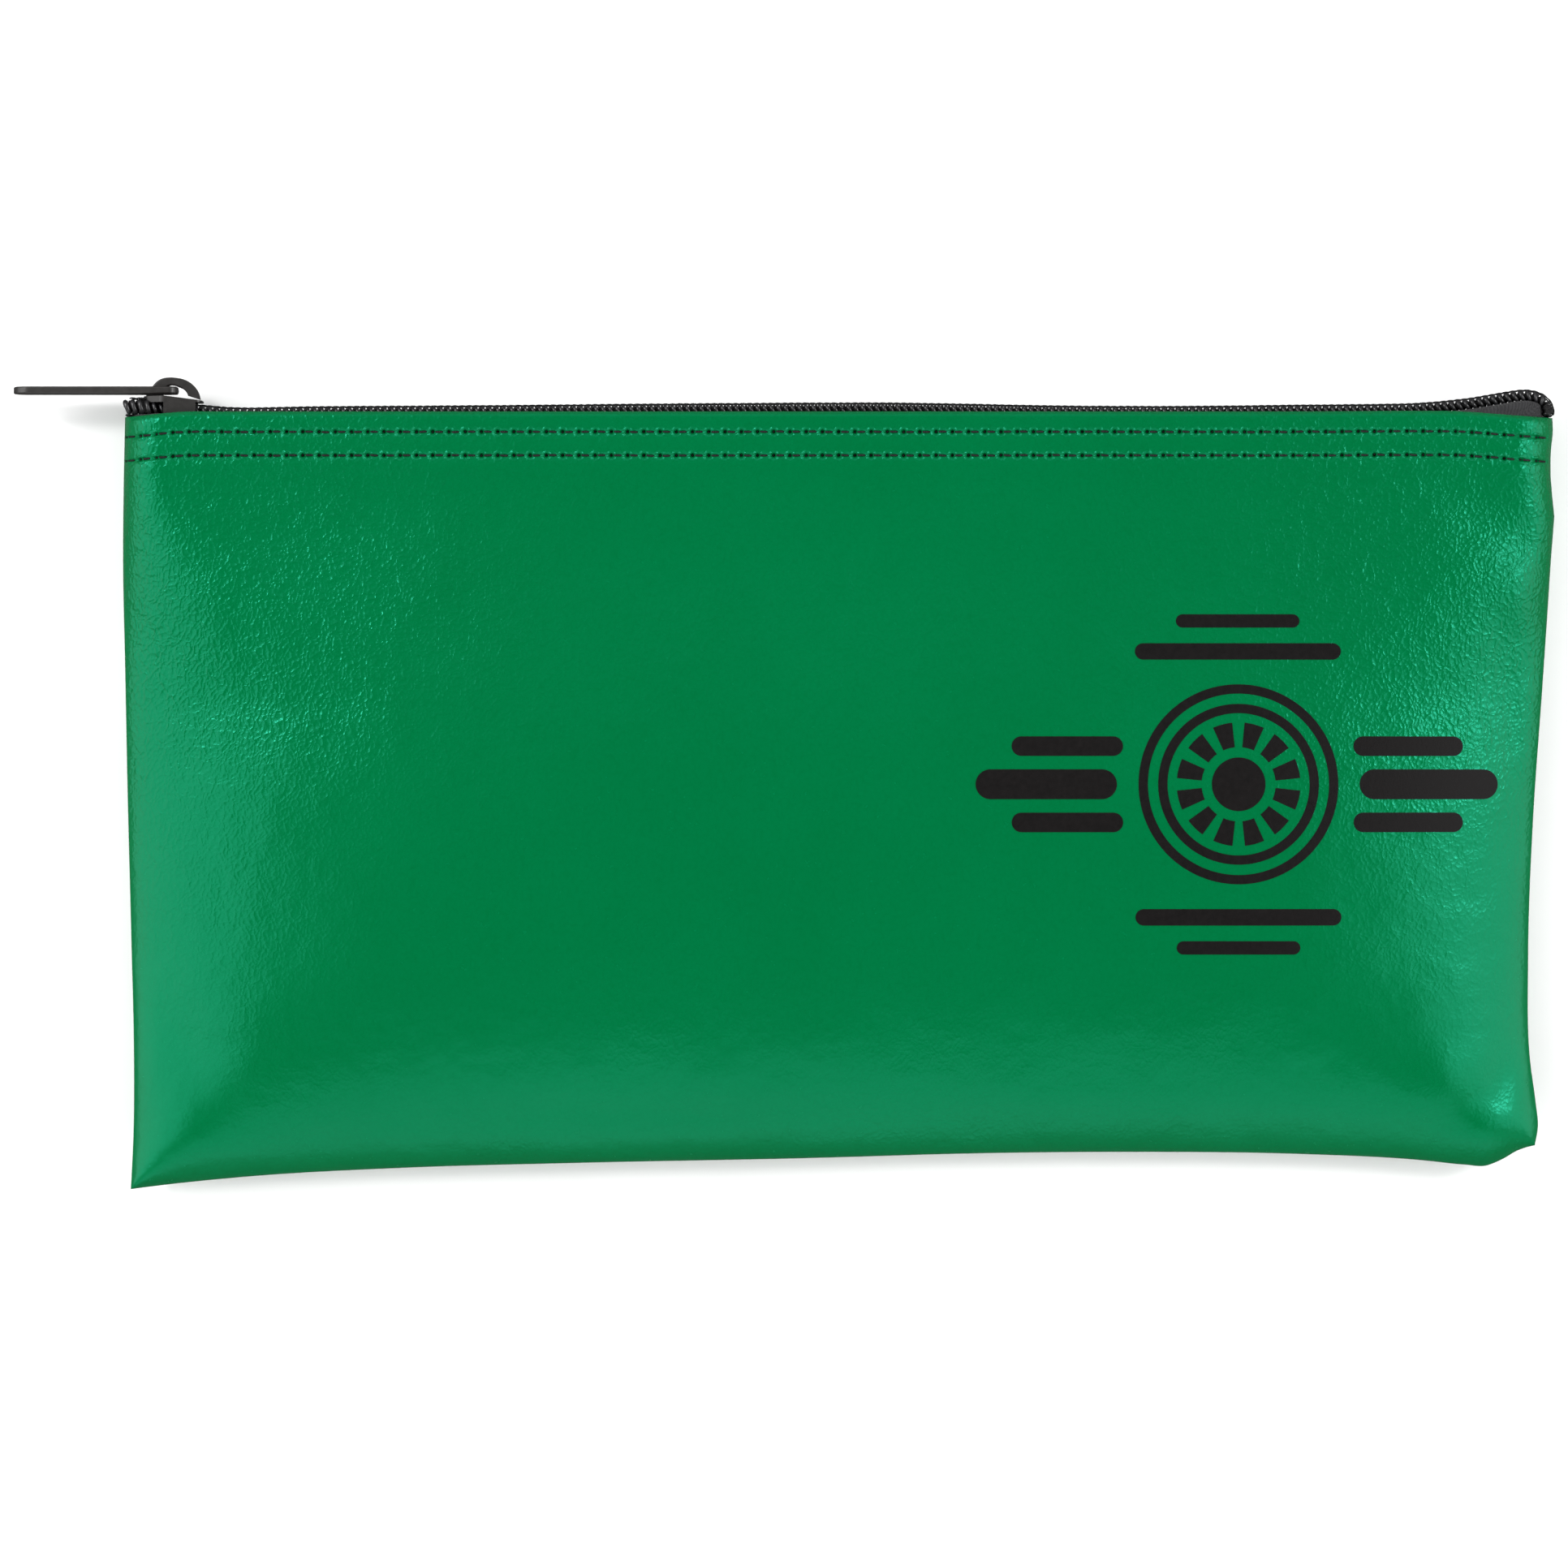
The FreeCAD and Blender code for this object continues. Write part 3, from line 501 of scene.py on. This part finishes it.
def tape_material():
    """Black woven zipper tape, in a fine herringbone."""
    n = Nodes("woven_tape")
    rest = n.rest()
    split = n.add("ShaderNodeSeparateXYZ", {"Vector": rest})
    x, y, z = split.outputs
    across = n.math("ADD", y, z)
    zigzag = n.math("PINGPONG", across, 1.1)
    warp = n.math("SINE", n.math("MULTIPLY", n.math("ADD", x, zigzag), 2 * math.pi / 0.62))
    ribs = n.math("SINE", n.math("MULTIPLY", across, 2 * math.pi / 0.55))
    weave = n.math("ADD", n.math("MULTIPLY", warp, 0.6), n.math("MULTIPLY", ribs, 0.4))
    fuzz = n.noise(rest, 9.0, 3.0)
    height = n.math("ADD", weave, n.math("MULTIPLY", fuzz, 0.6))
    normal = n.bump(height, 0.00012, 0.9)
    colour = n.ramp(n.math("ADD", n.math("MULTIPLY", weave, 0.3), n.math("MULTIPLY", fuzz, 0.7)),
                    [(0.1, (0.004, 0.004, 0.005)), (0.8, (0.020, 0.020, 0.023))])
    n.set(Base_Color=colour, Normal=normal)
    n.shader.inputs["Roughness"].default_value = 0.78
    n.shader.inputs["Sheen Weight"].default_value = 0.08
    return n.material


def coil_material():
    """Black nylon monofilament."""
    n = Nodes("nylon_coil")
    rest = n.rest()
    drift = n.noise(rest, 0.8, 2.0)
    colour = n.ramp(drift, [(0.3, (0.010, 0.010, 0.011)), (0.7, (0.020, 0.020, 0.022))])
    rough = n.math("ADD", 0.22, n.math("MULTIPLY", n.noise(rest, 3.0, 3.0), 0.16))
    n.set(Base_Color=colour, Roughness=rough, Normal=n.bump(n.noise(rest, 8.0, 2.0), 0.00002, 0.5))
    return n.material


def thread_material():
    """Black twisted polyester thread."""
    n = Nodes("sewing_thread")
    rest = n.rest()
    split = n.add("ShaderNodeSeparateXYZ", {"Vector": rest})
    twist = n.math("SINE", n.math("MULTIPLY", n.math("ADD", split.outputs[0], n.math(
        "MULTIPLY", n.math("ADD", split.outputs[1], split.outputs[2]), 1.4)), 2 * math.pi / 0.34))
    fuzz = n.noise(rest, 12.0, 2.0)
    normal = n.bump(n.math("ADD", twist, n.math("MULTIPLY", fuzz, 0.7)), 0.00005, 0.8)
    colour = n.ramp(n.math("ADD", n.math("MULTIPLY", twist, 0.25), fuzz),
                    [(0.2, (0.003, 0.003, 0.003)), (0.9, (0.011, 0.011, 0.012))])
    n.set(Base_Color=colour, Normal=normal)
    n.shader.inputs["Roughness"].default_value = 0.6
    n.shader.inputs["Specular IOR Level"].default_value = 0.3
    return n.material


def slider_material():
    """Gloss black enamel over cast zinc, with fine random specks."""
    n = Nodes("black_enamel")
    where = n.add("ShaderNodeTexCoord").outputs["Object"]
    specks = n.noise(where, 900.0, 4.0)
    ripple = n.noise(where, 300.0, 2.0)
    colour = n.ramp(specks, [(0.3, (0.007, 0.006, 0.005)), (0.75, (0.015, 0.013, 0.012))])
    rough = n.math("ADD", 0.36, n.math("MULTIPLY", specks, 0.2))
    n.set(Base_Color=colour, Roughness=rough, Normal=n.bump(ripple, 0.00006, 0.4))
    n.shader.inputs["Coat Weight"].default_value = 0.12
    n.shader.inputs["Coat Roughness"].default_value = 0.2
    return n.material


def ink_material():
    """Black screen-printing ink, which lets the vinyl's grain show."""
    n = Nodes("printing_ink")
    rest = n.rest()
    grain = n.noise(n.scaled(rest, (1.0, 0.55, 1.0)), 1.5, 4.0, 0.6, 0.6)
    mottle = n.noise(rest, 0.9, 3.0)
    colour = n.ramp(mottle, [(0.25, (0.0015, 0.001, 0.001)), (0.8, (0.004, 0.003, 0.003))])
    rough = n.math("ADD", 0.5, n.math("MULTIPLY", mottle, 0.14))
    n.set(Base_Color=colour, Roughness=rough, Normal=n.bump(grain, 0.0001, 0.4))
    n.shader.inputs["Specular IOR Level"].default_value = 0.12
    return n.material


VINYL_GREEN = vinyl_material()
BACKING = backing_material()
TAPE_BLACK = tape_material()
COIL_BLACK = coil_material()
THREAD_BLACK = thread_material()
ENAMEL = slider_material()
INK = ink_material()


# ---- placing pieces ------------------------------------------------------------------------------

HALVES = (("left", 0.0, 0.5, -HALF), ("right", 0.5, 1.0, HALF))   # first and last share, seam


def hold_by_seam(piece):
    """Bakes a front piece's placing into its mesh; it rides no body."""
    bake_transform(piece)


def seat_front(piece, node):
    """Puts a half of a front piece in its CAD node's place."""
    hold_by_seam(piece)
    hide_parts(node)


def seat(piece, body, node):
    """Puts a piece that rides one body in its CAD node's place."""
    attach(piece, body)
    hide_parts(node)


def line_inside(piece, rows):
    """Puts the cloth backing on the faces of a panel that look into the bag."""
    outside = sum(len(part) for part in levels()) - 1
    piece.data.materials.append(BACKING)
    row = np.arange(len(piece.data.polygons)) % rows
    piece.data.polygons.foreach_set("material_index", (row >= outside).astype(np.int32))


def close_ends(piece, rows, flip):
    """Closes a panel half along its side seam and along its cut at the bag's middle."""
    edit = bmesh.new()
    edit.from_mesh(piece.data)
    edit.verts.ensure_lookup_table()
    for start, turned in ((0, True), (len(edit.verts) - rows, False)):
        loop = [edit.verts[start + k] for k in range(rows)]
        end = edit.faces.new(loop[::-1] if turned != flip else loop)
        for edge in end.edges:
            edge.smooth = False
    edit.to_mesh(piece.data)
    edit.free()


def panel_half(side, panel, name, first, last):
    """One half of a panel: vinyl outside, cloth inside and closed all round."""
    points = panel_points(panel, first, last)
    flip = side == "back"
    quads = grid_quads(*points.shape[:2], wrap_cols=True, flip=flip)
    piece = make_mesh(f"{side}_panel_{name}", points, quads, VINYL_GREEN)
    line_inside(piece, points.shape[1])
    close_ends(piece, points.shape[1], flip)
    return piece


def build_panels():
    """Both panels as halves: the back ones ride the bag's back body, the front ones ride none."""
    for name, first, last, seam in HALVES:
        seat_front(panel_half("front", FRONT, name, first, last), "front_panel")
    for name, first, last, _ in HALVES:
        seat(panel_half("back", BACK, name, first, last), "bag_back", "back_panel")


def build_allowances():
    """The two panels' edges, turned into the bag and sewn together along the three seams."""
    start, width, half = 1.15, 7.0, 0.72
    section = np.array([(0, -half), (width, -half), (width + 0.15, -0.3), (width, -0.04),
                        (0.9, -0.02), (0.9, 0.02), (width - 0.4, 0.04), (width - 0.25, 0.3),
                        (width - 0.4, half), (0, half), (-0.15, 0)])
    down = np.linspace(60.0, -72.5, 120)
    across = np.linspace(-136.0, 132.5, 220)
    up = np.linspace(-64.0, 60.0, 120)
    lines = {
        "left": (np.stack([left_of(down), down], -1), (1, 0)),
        "bottom": (np.stack([across, bottom_of(across)], -1), (0, 1)),
        "right": (np.stack([right_of(up), up], -1), (-1, 0)),
    }
    for name, (line, inward) in lines.items():
        wave = 0.25 * np.sin(np.arange(len(line)) * 0.35) + rng.normal(0, 0.02, len(line))
        reach = start + section[None, :, 0] * (1 + 0.04 * wave[:, None])
        points = np.empty((len(line), len(section), 3))
        for k in (0, 1):
            points[..., k] = line[:, None, k] + inward[k] * reach
        points[..., 2] = PARTING + section[None, :, 1]
        quads = grid_quads(*points.shape[:2], wrap_cols=True)
        piece = make_mesh(f"{name}_seam_allowance", points, quads, VINYL_GREEN)
        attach(piece, "bag_back")


HEM_THREAD = 0.19   # radius
# A stitch of the hem: places along it, and how far the thread stands over the vinyl there.
DASH = np.array([(0.17, -0.3), (0.20, -0.05), (0.24, 0.1), (0.31, 0.22), (0.39, 0.25),
                 (0.47, 0.23), (0.54, 0.12), (0.59, -0.05), (0.63, -0.3)])
KNOT = np.array([(-0.07, 0.1), (-0.04, 0.3), (0.0, 0.36), (0.04, 0.3), (0.07, 0.1)])


def stitch_paths(panel, row):
    """Each stitch's dash of thread, and the thread that shows in its needle hole."""
    paths = []
    first, last = math.ceil(-HALF / STITCH - 0.1), math.floor(HALF / STITCH - 0.6)
    for k in range(first, last + 1):
        shift, lean, loose = rng.normal(0, (0.03, 0.1, 0.03))
        for shape in (DASH, KNOT):
            places, lift = shape.T
            xs = (k + places) * STITCH
            ys = row + shift + lean * (places - 0.4)
            z = outer_point(xs, ys, panel) + lift + loose
            paths.append(sagged(np.stack([xs, ys, PARTING + panel["sign"] * z], -1)))
    return paths


def build_stitching():
    """Two rows of thread along each hem; the front rows are split at the bag's middle."""
    for side, panel in (("front", FRONT), ("back", BACK)):
        for level, row in (("upper", ROWS[0]), ("lower", ROWS[1])):
            node = f"{side}_{level}_stitching"
            paths = stitch_paths(panel, row)
            if side == "back":
                seat(tubes(node, paths, HEM_THREAD, 8, THREAD_BLACK), "bag_back", node)
                continue
            halves = {"left": [p for p in paths if p[0, 0] < 0],
                      "right": [p for p in paths if p[0, 0] >= 0]}
            for name, _, _, seam in HALVES:
                piece = tubes(f"{node}_{name}", halves[name], HEM_THREAD, 8, THREAD_BLACK)
                seat_front(piece, node)


# ---- zipper --------------------------------------------------------------------------------------

COIL_PITCH = 1.37
COIL_WIRE = 0.33   # radius of the wire
COIL_RISE = 2.2    # height of a turn, across the chain
LOOSE_END = (-132.5, -135.5)   # where the chain grows fuller, left of the slider

# The line that the middle of the zipper chain takes, seen from the front.
CHAIN_LINE = [(-139.9, 76.85), (-138.8, 76.87), (-137.4, 76.87), (-135.5, 76.8), (-132.5, 76.5),
              (-128.0, 76.3), (-124.0, 76.0), (-116.4, 75.5), (-100.0, 75.75), (-68.0, 75.95),
              (-37.0, 76.25), (-5.0, 76.45), (11.0, 76.45), (27.0, 76.2), (42.0, 75.9),
              (58.0, 75.8), (74.0, 75.85), (90.0, 76.05), (106.0, 76.2), (114.0, 76.45),
              (122.0, 77.2), (126.5, 77.9), (130.0, 78.5), (133.0, 78.95), (135.0, 78.95),
              (136.9, 78.4), (138.15, 77.3), (138.55, 76.2), (138.5, 75.0), (138.3, 73.6)]


def chain_path(spacing):
    """Evenly spaced places along the chain's middle line, with their points and normals."""
    knots = np.array(CHAIN_LINE, float)
    padded = np.vstack([2 * knots[0] - knots[1], knots, 2 * knots[-1] - knots[-2]])
    t = np.linspace(0, 1, 40, endpoint=False)[:, None]
    curve = []
    for a, b, c, d in zip(padded, padded[1:], padded[2:], padded[3:]):
        curve.append(0.5 * (2 * b + (c - a) * t + (2 * a - 5 * b + 4 * c - d) * t**2
                            + (3 * b - a - 3 * c + d) * t**3))
    curve = np.vstack(curve + [knots[-1:]])
    run = np.r_[0, np.cumsum(np.linalg.norm(np.diff(curve, axis=0), axis=1))]
    places = np.arange(0, run[-1], spacing)
    points = np.stack([np.interp(places, run, curve[:, k]) for k in (0, 1)], -1)
    tangent = np.gradient(points, axis=0)
    tangent /= np.linalg.norm(tangent, axis=1, keepdims=True)
    normal = np.stack([-tangent[:, 1], tangent[:, 0]], -1)
    return places, points, normal


CHAIN = chain_path(0.25)
CHAIN_LENGTH = CHAIN[0][-1]


def parting_at(x):
    """How far each side of the chain stands off the middle: it opens where the slider has been."""
    return 0.75 * smooth_step(-127.0, -132.0, x)


def end_swell(x):
    """The loose left end of the chain is fuller than the rest, and rounds off at its tip."""
    return 1 + 0.45 * smooth_step(*LOOSE_END, x) - 0.4 * smooth_step(-138.6, -140.2, x)


def bulk(path, radius, extra):
    """Radius of a piece of the coil along its path: thicker by `extra` in the loose left end."""
    return radius * (1 + extra * smooth_step(*LOOSE_END, path[:, 0]))


def along_chain(places, across, height, sign):
    """Points at distances along the chain, out from its middle and over its middle line."""
    run, points, normal = CHAIN
    x = np.interp(places, run, points[:, 0])
    y = np.interp(places, run, points[:, 1])
    nx = np.interp(places, run, normal[:, 0])
    ny = np.interp(places, run, normal[:, 1])
    height = height * end_swell(x)
    out = across + parting_at(x)
    return np.stack([x + nx * height, y + ny * height, PARTING + sign * out], -1)


def in_halves(points, cut):
    """A front piece's points in two parts that share those at `cut`, each with its seam."""
    return ("left", points[:cut + 1], -HALF), ("right", points[cut:], HALF)


def coil_turns(sign, shift):
    """The coil's wire: each turn is a rounded bar that leans along the chain."""
    steps, half_width, half_height = 18, 1.42, COIL_RISE / 2 - COIL_WIRE
    count = int((CHAIN_LENGTH - 0.9) / COIL_PITCH)
    turn = np.arange(count * steps) / steps
    phase = 2 * np.pi * turn
    c, s = np.cos(phase), np.sin(phase)
    c, s = np.sign(c) * np.abs(c) ** 0.62, np.sign(s) * np.abs(s) ** 0.75
    across = 1.18 - half_width * c
    places = 0.3 + COIL_PITCH * (turn + shift) + 0.16 * np.sin(2 * phase)
    return along_chain(places, across, half_height * s, sign)


def build_chain():
    """Each side's coil, the cord inside its turns and the thread that sews it to its tape."""
    for side, sign, shift in (("front", 1, 0.0), ("back", -1, 0.5)):
        wire = coil_turns(sign, shift)
        core = along_chain(np.arange(0.9, CHAIN_LENGTH - 1.6, 0.5), 1.3, 0.0, sign)
        places = np.arange(1.4, CHAIN_LENGTH - 1.4, COIL_PITCH / 6)
        hop = np.abs(np.sin(np.pi * places / COIL_PITCH))
        sewn = along_chain(places, 1.62 + 0.12 * np.sin(2 * np.pi * places / COIL_PITCH),
                           COIL_RISE / 2 + 0.02 + 0.10 * hop, sign)
        # Each piece's path, radius and growth in the loose end, then the sides of its tube.
        pieces = ((f"{side}_coil", wire, COIL_WIRE, 0.4, 7, COIL_BLACK, "coil"),
                  (f"{side}_coil_core", core, 0.42, 1.1, 8, THREAD_BLACK, "thread"),
                  (f"{side}_coil_stitching", sewn, 0.15, 0.0, 6, THREAD_BLACK, "thread"))
        for node, path, radius, extra, sides, material, slot in pieces:
            if side == "back":
                piece = tubes(node, [path], bulk(path, radius, extra), sides, material)
                seat(piece, "bag_back", node)
                continue
            cut = len(path) // 2 if path is wire else int(np.searchsorted(path[:, 0], 0.0))
            for name, part, seam in in_halves(path, cut):
                piece = tubes(f"{node}_{name}", [part], bulk(part, radius, extra), sides, material)
                seat_front(piece, node)


def tape_sections(panel, sign):
    """Cross-sections of a tape: sewn flat inside the hem, then turned in under the coil."""
    places = np.arange(0.6, CHAIN_LENGTH - 0.6, 0.5)
    base = along_chain(places, 0.0, -COIL_RISE / 2 - 0.05, 1)
    x, foot = base[:, 0], base[:, 1]
    inset = 2 * VINYL + FOLD_GAP + 0.25
    sewn_foot, sewn_top, turn_in, mid_hem = 62.0, 74.3, 74.6, 70.0
    xs = np.clip(x, left_of(mid_hem) + inset + 0.2, right_of(mid_hem) - inset - 0.2)
    lip = GAP + panel_rise(xs, np.full(len(xs), mid_hem), panel, inset)
    lip = np.maximum(lip, 0.35)
    middle = parting_at(x)
    sections = []
    for share in (0.0, 0.45, 0.8):
        y = sewn_foot + (sewn_top - sewn_foot) * share
        sections.append(np.stack([xs, np.full(len(xs), y), lip], -1))
    corner = np.minimum(3.3 + middle, lip)
    for share in (0.12, 0.3, 0.5, 0.75, 1.0):
        y = turn_in + (foot - turn_in) * (math.sin(share * math.pi / 2) ** 1.2)
        z = lip + (corner - lip) * share
        place = xs + (x - xs) * share
        sections.append(np.stack([place, y, z], -1))
    for reach in (2.2, 1.2, 0.35):
        sections.append(np.stack([x, foot, np.minimum(middle + reach, corner)], -1))
    points = np.stack(sections, 1)
    points[..., 2] = PARTING + sign * points[..., 2]
    return points


def thick_strip(points, thickness):
    """Closes a sheet of points into a thin solid, thickened along its normals."""
    along = np.gradient(points, axis=0)
    over = np.gradient(points, axis=1)
    normal = np.cross(along, over)
    normal /= np.maximum(np.linalg.norm(normal, axis=-1, keepdims=True), 1e-9)
    return np.concatenate([points + normal * thickness / 2,
                           (points - normal * thickness / 2)[:, ::-1]], 1)


def build_tapes():
    """Both tapes; the front one is split at the bag's middle."""
    for side, panel, sign in (("front", FRONT, 1), ("back", BACK, -1)):
        node = f"{side}_zipper_tape"
        points = thick_strip(tape_sections(panel, sign), 0.45)
        if side == "back":
            quads = grid_quads(*points.shape[:2], wrap_cols=True, flip=True)
            seat(make_mesh(node, points, quads, TAPE_BLACK), "bag_back", node)
            continue
        for name, part, seam in in_halves(points, len(points) // 2):
            quads = grid_quads(*part.shape[:2], wrap_cols=True)
            seat_front(make_mesh(f"{node}_{name}", part, quads, TAPE_BLACK), node)


# ---- seam thread and end tacks -------------------------------------------------------------------

def build_seam_thread():
    """The seams' thread, in the groove between the panels down, along and up the edge."""
    inset, left_foot, right_foot = 0.5, -74.5, -66.5
    down = np.linspace(HEM_FOOT, left_foot, 160)
    xs = np.linspace(left_of(left_foot) + inset, right_of(right_foot) - inset, 300)[1:-1]
    up = np.linspace(right_foot, HEM_FOOT, 160)
    path = np.concatenate([np.stack([left_of(down) + inset, down], -1),
                           np.stack([xs, bottom_of(xs) + inset], -1),
                           np.stack([right_of(up) - inset, up], -1)])
    path = np.column_stack([path, np.full(len(path), PARTING)])
    seat(tubes("seam_stitching", [path], 0.13, 6, THREAD_BLACK), "bag_back", "seam_stitching")


def build_tacks():
    """Bars of thread wound over the chain at both ends."""
    from_end, wound, half_width, apart = 3.6, 5, 3.3, 0.36
    for node, start in (("left_end_tack", from_end), ("right_end_tack", CHAIN_LENGTH - from_end)):
        paths = []
        for k in range(wound):
            turn = np.linspace(-0.12, 1.12, 22) * math.pi
            height = -0.3 + (COIL_RISE / 2 + 0.5) * np.clip(np.sin(turn), -0.2, 1)
            line = along_chain(np.full(len(turn), start + apart * k), 0.0, height, 1)
            line[:, 2] = PARTING + half_width * np.cos(turn)
            paths.append(line)
        seat(tubes(node, paths, 0.19, 7, THREAD_BLACK), "bag_back", node)


# ---- printed mark --------------------------------------------------------------------------------

INK_CENTRE = (77.5, 3.2)
INK_LIFT = 0.05


def ink_face(outline_in, outline_out):
    """Points of a band between two outlines of equal count, laid on the panel's face."""
    layers = [np.asarray(outline_in) * (1 - s) + np.asarray(outline_out) * s
              for s in np.linspace(0, 1, 7)]
    flat = np.stack(layers, 1)
    x, y = flat[..., 0] + INK_CENTRE[0], flat[..., 1] + INK_CENTRE[1]
    z = outer_point(x, y, FRONT, fine=False) + INK_LIFT
    return np.stack([x, y, PARTING + z], -1)


def ring_lines(inner, outer, start=0.0, end=2 * math.pi, count=160):
    """A ring or a part of one, as two matching lines."""
    turn = np.linspace(start, end, count)
    unit = np.stack([np.cos(turn), np.sin(turn)], -1)
    return unit * inner, unit * outer


def bar_lines(x0, x1, y0, y1, count=60):
    """A bar with rounded ends, as two matching lines."""
    radius = abs(y1 - y0) / 2
    middle = (y0 + y1) / 2
    x = x0 + (x1 - x0) * (1 - np.cos(np.linspace(0, math.pi, count))) / 2
    edge = np.minimum(np.minimum(x - x0, x1 - x), radius)
    half = np.sqrt(np.maximum(radius**2 - (radius - edge) ** 2, 0))
    return np.stack([x, middle - half], -1), np.stack([x, middle + half], -1)


def mark_shapes():
    """A generic mark: a ringed disc between plain bars, with no lettering."""
    shapes = [ring_lines(17.6, 19.4), ring_lines(13.8, 15.6), ring_lines(0.02, 5.2)]
    for k in range(12):
        middle = math.pi * k / 6 + math.pi / 12
        shapes.append(ring_lines(7.2, 12.0, middle - 0.16, middle + 0.16, 16))
    for sign in (-1, 1):
        for y, x_in, x_out, half in ((7.4, 22.4, 44.0, 1.9), (0.0, 23.6, 51.0, 2.9),
                                     (-7.4, 22.4, 44.0, 1.9)):
            low, high = sorted((sign * x_in, sign * x_out))
            shapes.append(bar_lines(low, high, y - half, y + half))
    for y in (25.8, -25.8):
        shapes.append(bar_lines(-20.0, 20.0, y - 1.6, y + 1.6))
        shapes.append(bar_lines(-12.0, 12.0, y * 1.23 - 1.3, y * 1.23 + 1.3))
    return shapes


def build_imprint():
    """The mark's film of ink on the right half of the front panel."""
    points, quads, base = [], [], 0
    for inner, outer in mark_shapes():
        face = ink_face(inner, outer)
        points.append(face.reshape(-1, 3))
        quads.append(grid_quads(face.shape[0], face.shape[1], base=base))
        base += face.shape[0] * face.shape[1]
    piece = make_mesh("front_imprint", np.concatenate(points), np.concatenate(quads), INK)
    hold_by_seam(piece)


# ---- studio --------------------------------------------------------------------------------------

def build_floor():
    """A white table top, left out of reflections so that the bag's rims stay green."""
    n = Nodes("studio_floor")
    where = n.add("ShaderNodeTexCoord").outputs["Object"]
    n.set(Base_Color=n.ramp(n.noise(where, 30.0, 3.0), [(0.3, 0.93), (0.7, 0.95)]))
    n.shader.inputs["Roughness"].default_value = 0.9
    size = 3000.0
    mesh = bpy.data.meshes.new("floor")
    corners = [(-size, -size), (size, -size), (size, size), (-size, size)]
    mesh.from_pydata([(x * MM, y * MM, -0.0001) for x, y in corners], [], [(0, 1, 2, 3)])
    mesh.materials.append(n.material)
    floor = bpy.data.objects.new("floor", mesh)
    bpy.context.scene.collection.objects.link(floor)
    floor.visible_glossy = False


def add_light(name, place, width, height, power):
    """A rectangular light that faces the origin; metres and watts."""
    light = bpy.data.lights.new(name, "AREA")
    light.shape = "RECTANGLE"
    light.size, light.size_y = width, height
    light.energy = power
    lamp = bpy.data.objects.new(name, light)
    lamp.location = place
    lamp.rotation_mode = "QUATERNION"
    lamp.rotation_quaternion = (-Vector(place)).to_track_quat("-Z", "Y")
    bpy.context.scene.collection.objects.link(lamp)


LIGHTS = [
    ("left_softbox", (-1.25, 0.15, 0.75), 1.2, 1.6, 15),
    ("right_softbox", (1.25, 0.1, 0.75), 1.2, 1.6, 15),
    ("left_lamp", (-0.8, 0.6, 0.95), 0.22, 0.22, 7),
    ("right_lamp", (0.95, 0.25, 0.95), 0.22, 0.22, 4.5),
    ("foot_softbox", (0, -1.2, 1.0), 2.0, 1.0, 7),
]
# The room's light by the height of its direction: bright walls and a dark patch overhead.
ROOM = [(0.0, 0.15), (0.2, 0.4), (0.5, 1.0), (0.8, 0.55), (0.93, 0.12), (1.0, 0.05)]


def build_studio():
    """The room's light and the lamps."""
    world = bpy.data.worlds.new("studio")
    world.use_nodes = True
    tree = world.node_tree
    background = tree.nodes["Background"]
    coord = tree.nodes.new("ShaderNodeTexCoord")
    split = tree.nodes.new("ShaderNodeSeparateXYZ")
    ramp = tree.nodes.new("ShaderNodeValToRGB")
    tree.links.new(coord.outputs["Generated"], split.inputs[0])
    tree.links.new(split.outputs[2], ramp.inputs[0])
    tree.links.new(ramp.outputs[0], background.inputs[0])
    elements = ramp.color_ramp.elements
    while len(elements) < len(ROOM):
        elements.new(0.5)
    for element, (place, shade) in zip(elements, ROOM):
        element.position, element.color = place, (shade, shade, shade, 1)
    background.inputs[1].default_value = 1.05
    bpy.context.scene.world = world
    for light in LIGHTS:
        add_light(*light)


def build_camera():
    """Looks straight down on the front panel, as a copy stand does."""
    camera_data = bpy.data.cameras.new("camera")
    camera = bpy.data.objects.new("camera", camera_data)
    height, sensor, field = 1.6, 36.0, 306.7 * MM
    camera_data.sensor_width = sensor
    camera_data.lens = sensor * (height - PARTING * MM) / field
    camera.location = (-10.64 * MM, 3.25 * MM, height)
    camera_data.clip_start, camera_data.clip_end = 0.05, 20
    bpy.context.scene.collection.objects.link(camera)
    bpy.context.scene.camera = camera


# ---- the scene -----------------------------------------------------------------------------------

build_panels()
build_allowances()
build_stitching()
build_chain()
build_tapes()
build_seam_thread()
build_tacks()
build_imprint()
for node in ("slider_body", "pull_tab"):
    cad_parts[node].data.materials.clear()
    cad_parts[node].data.materials.append(ENAMEL)
build_floor()
build_studio()
build_camera()
bpy.context.scene.view_settings.view_transform = "Standard"
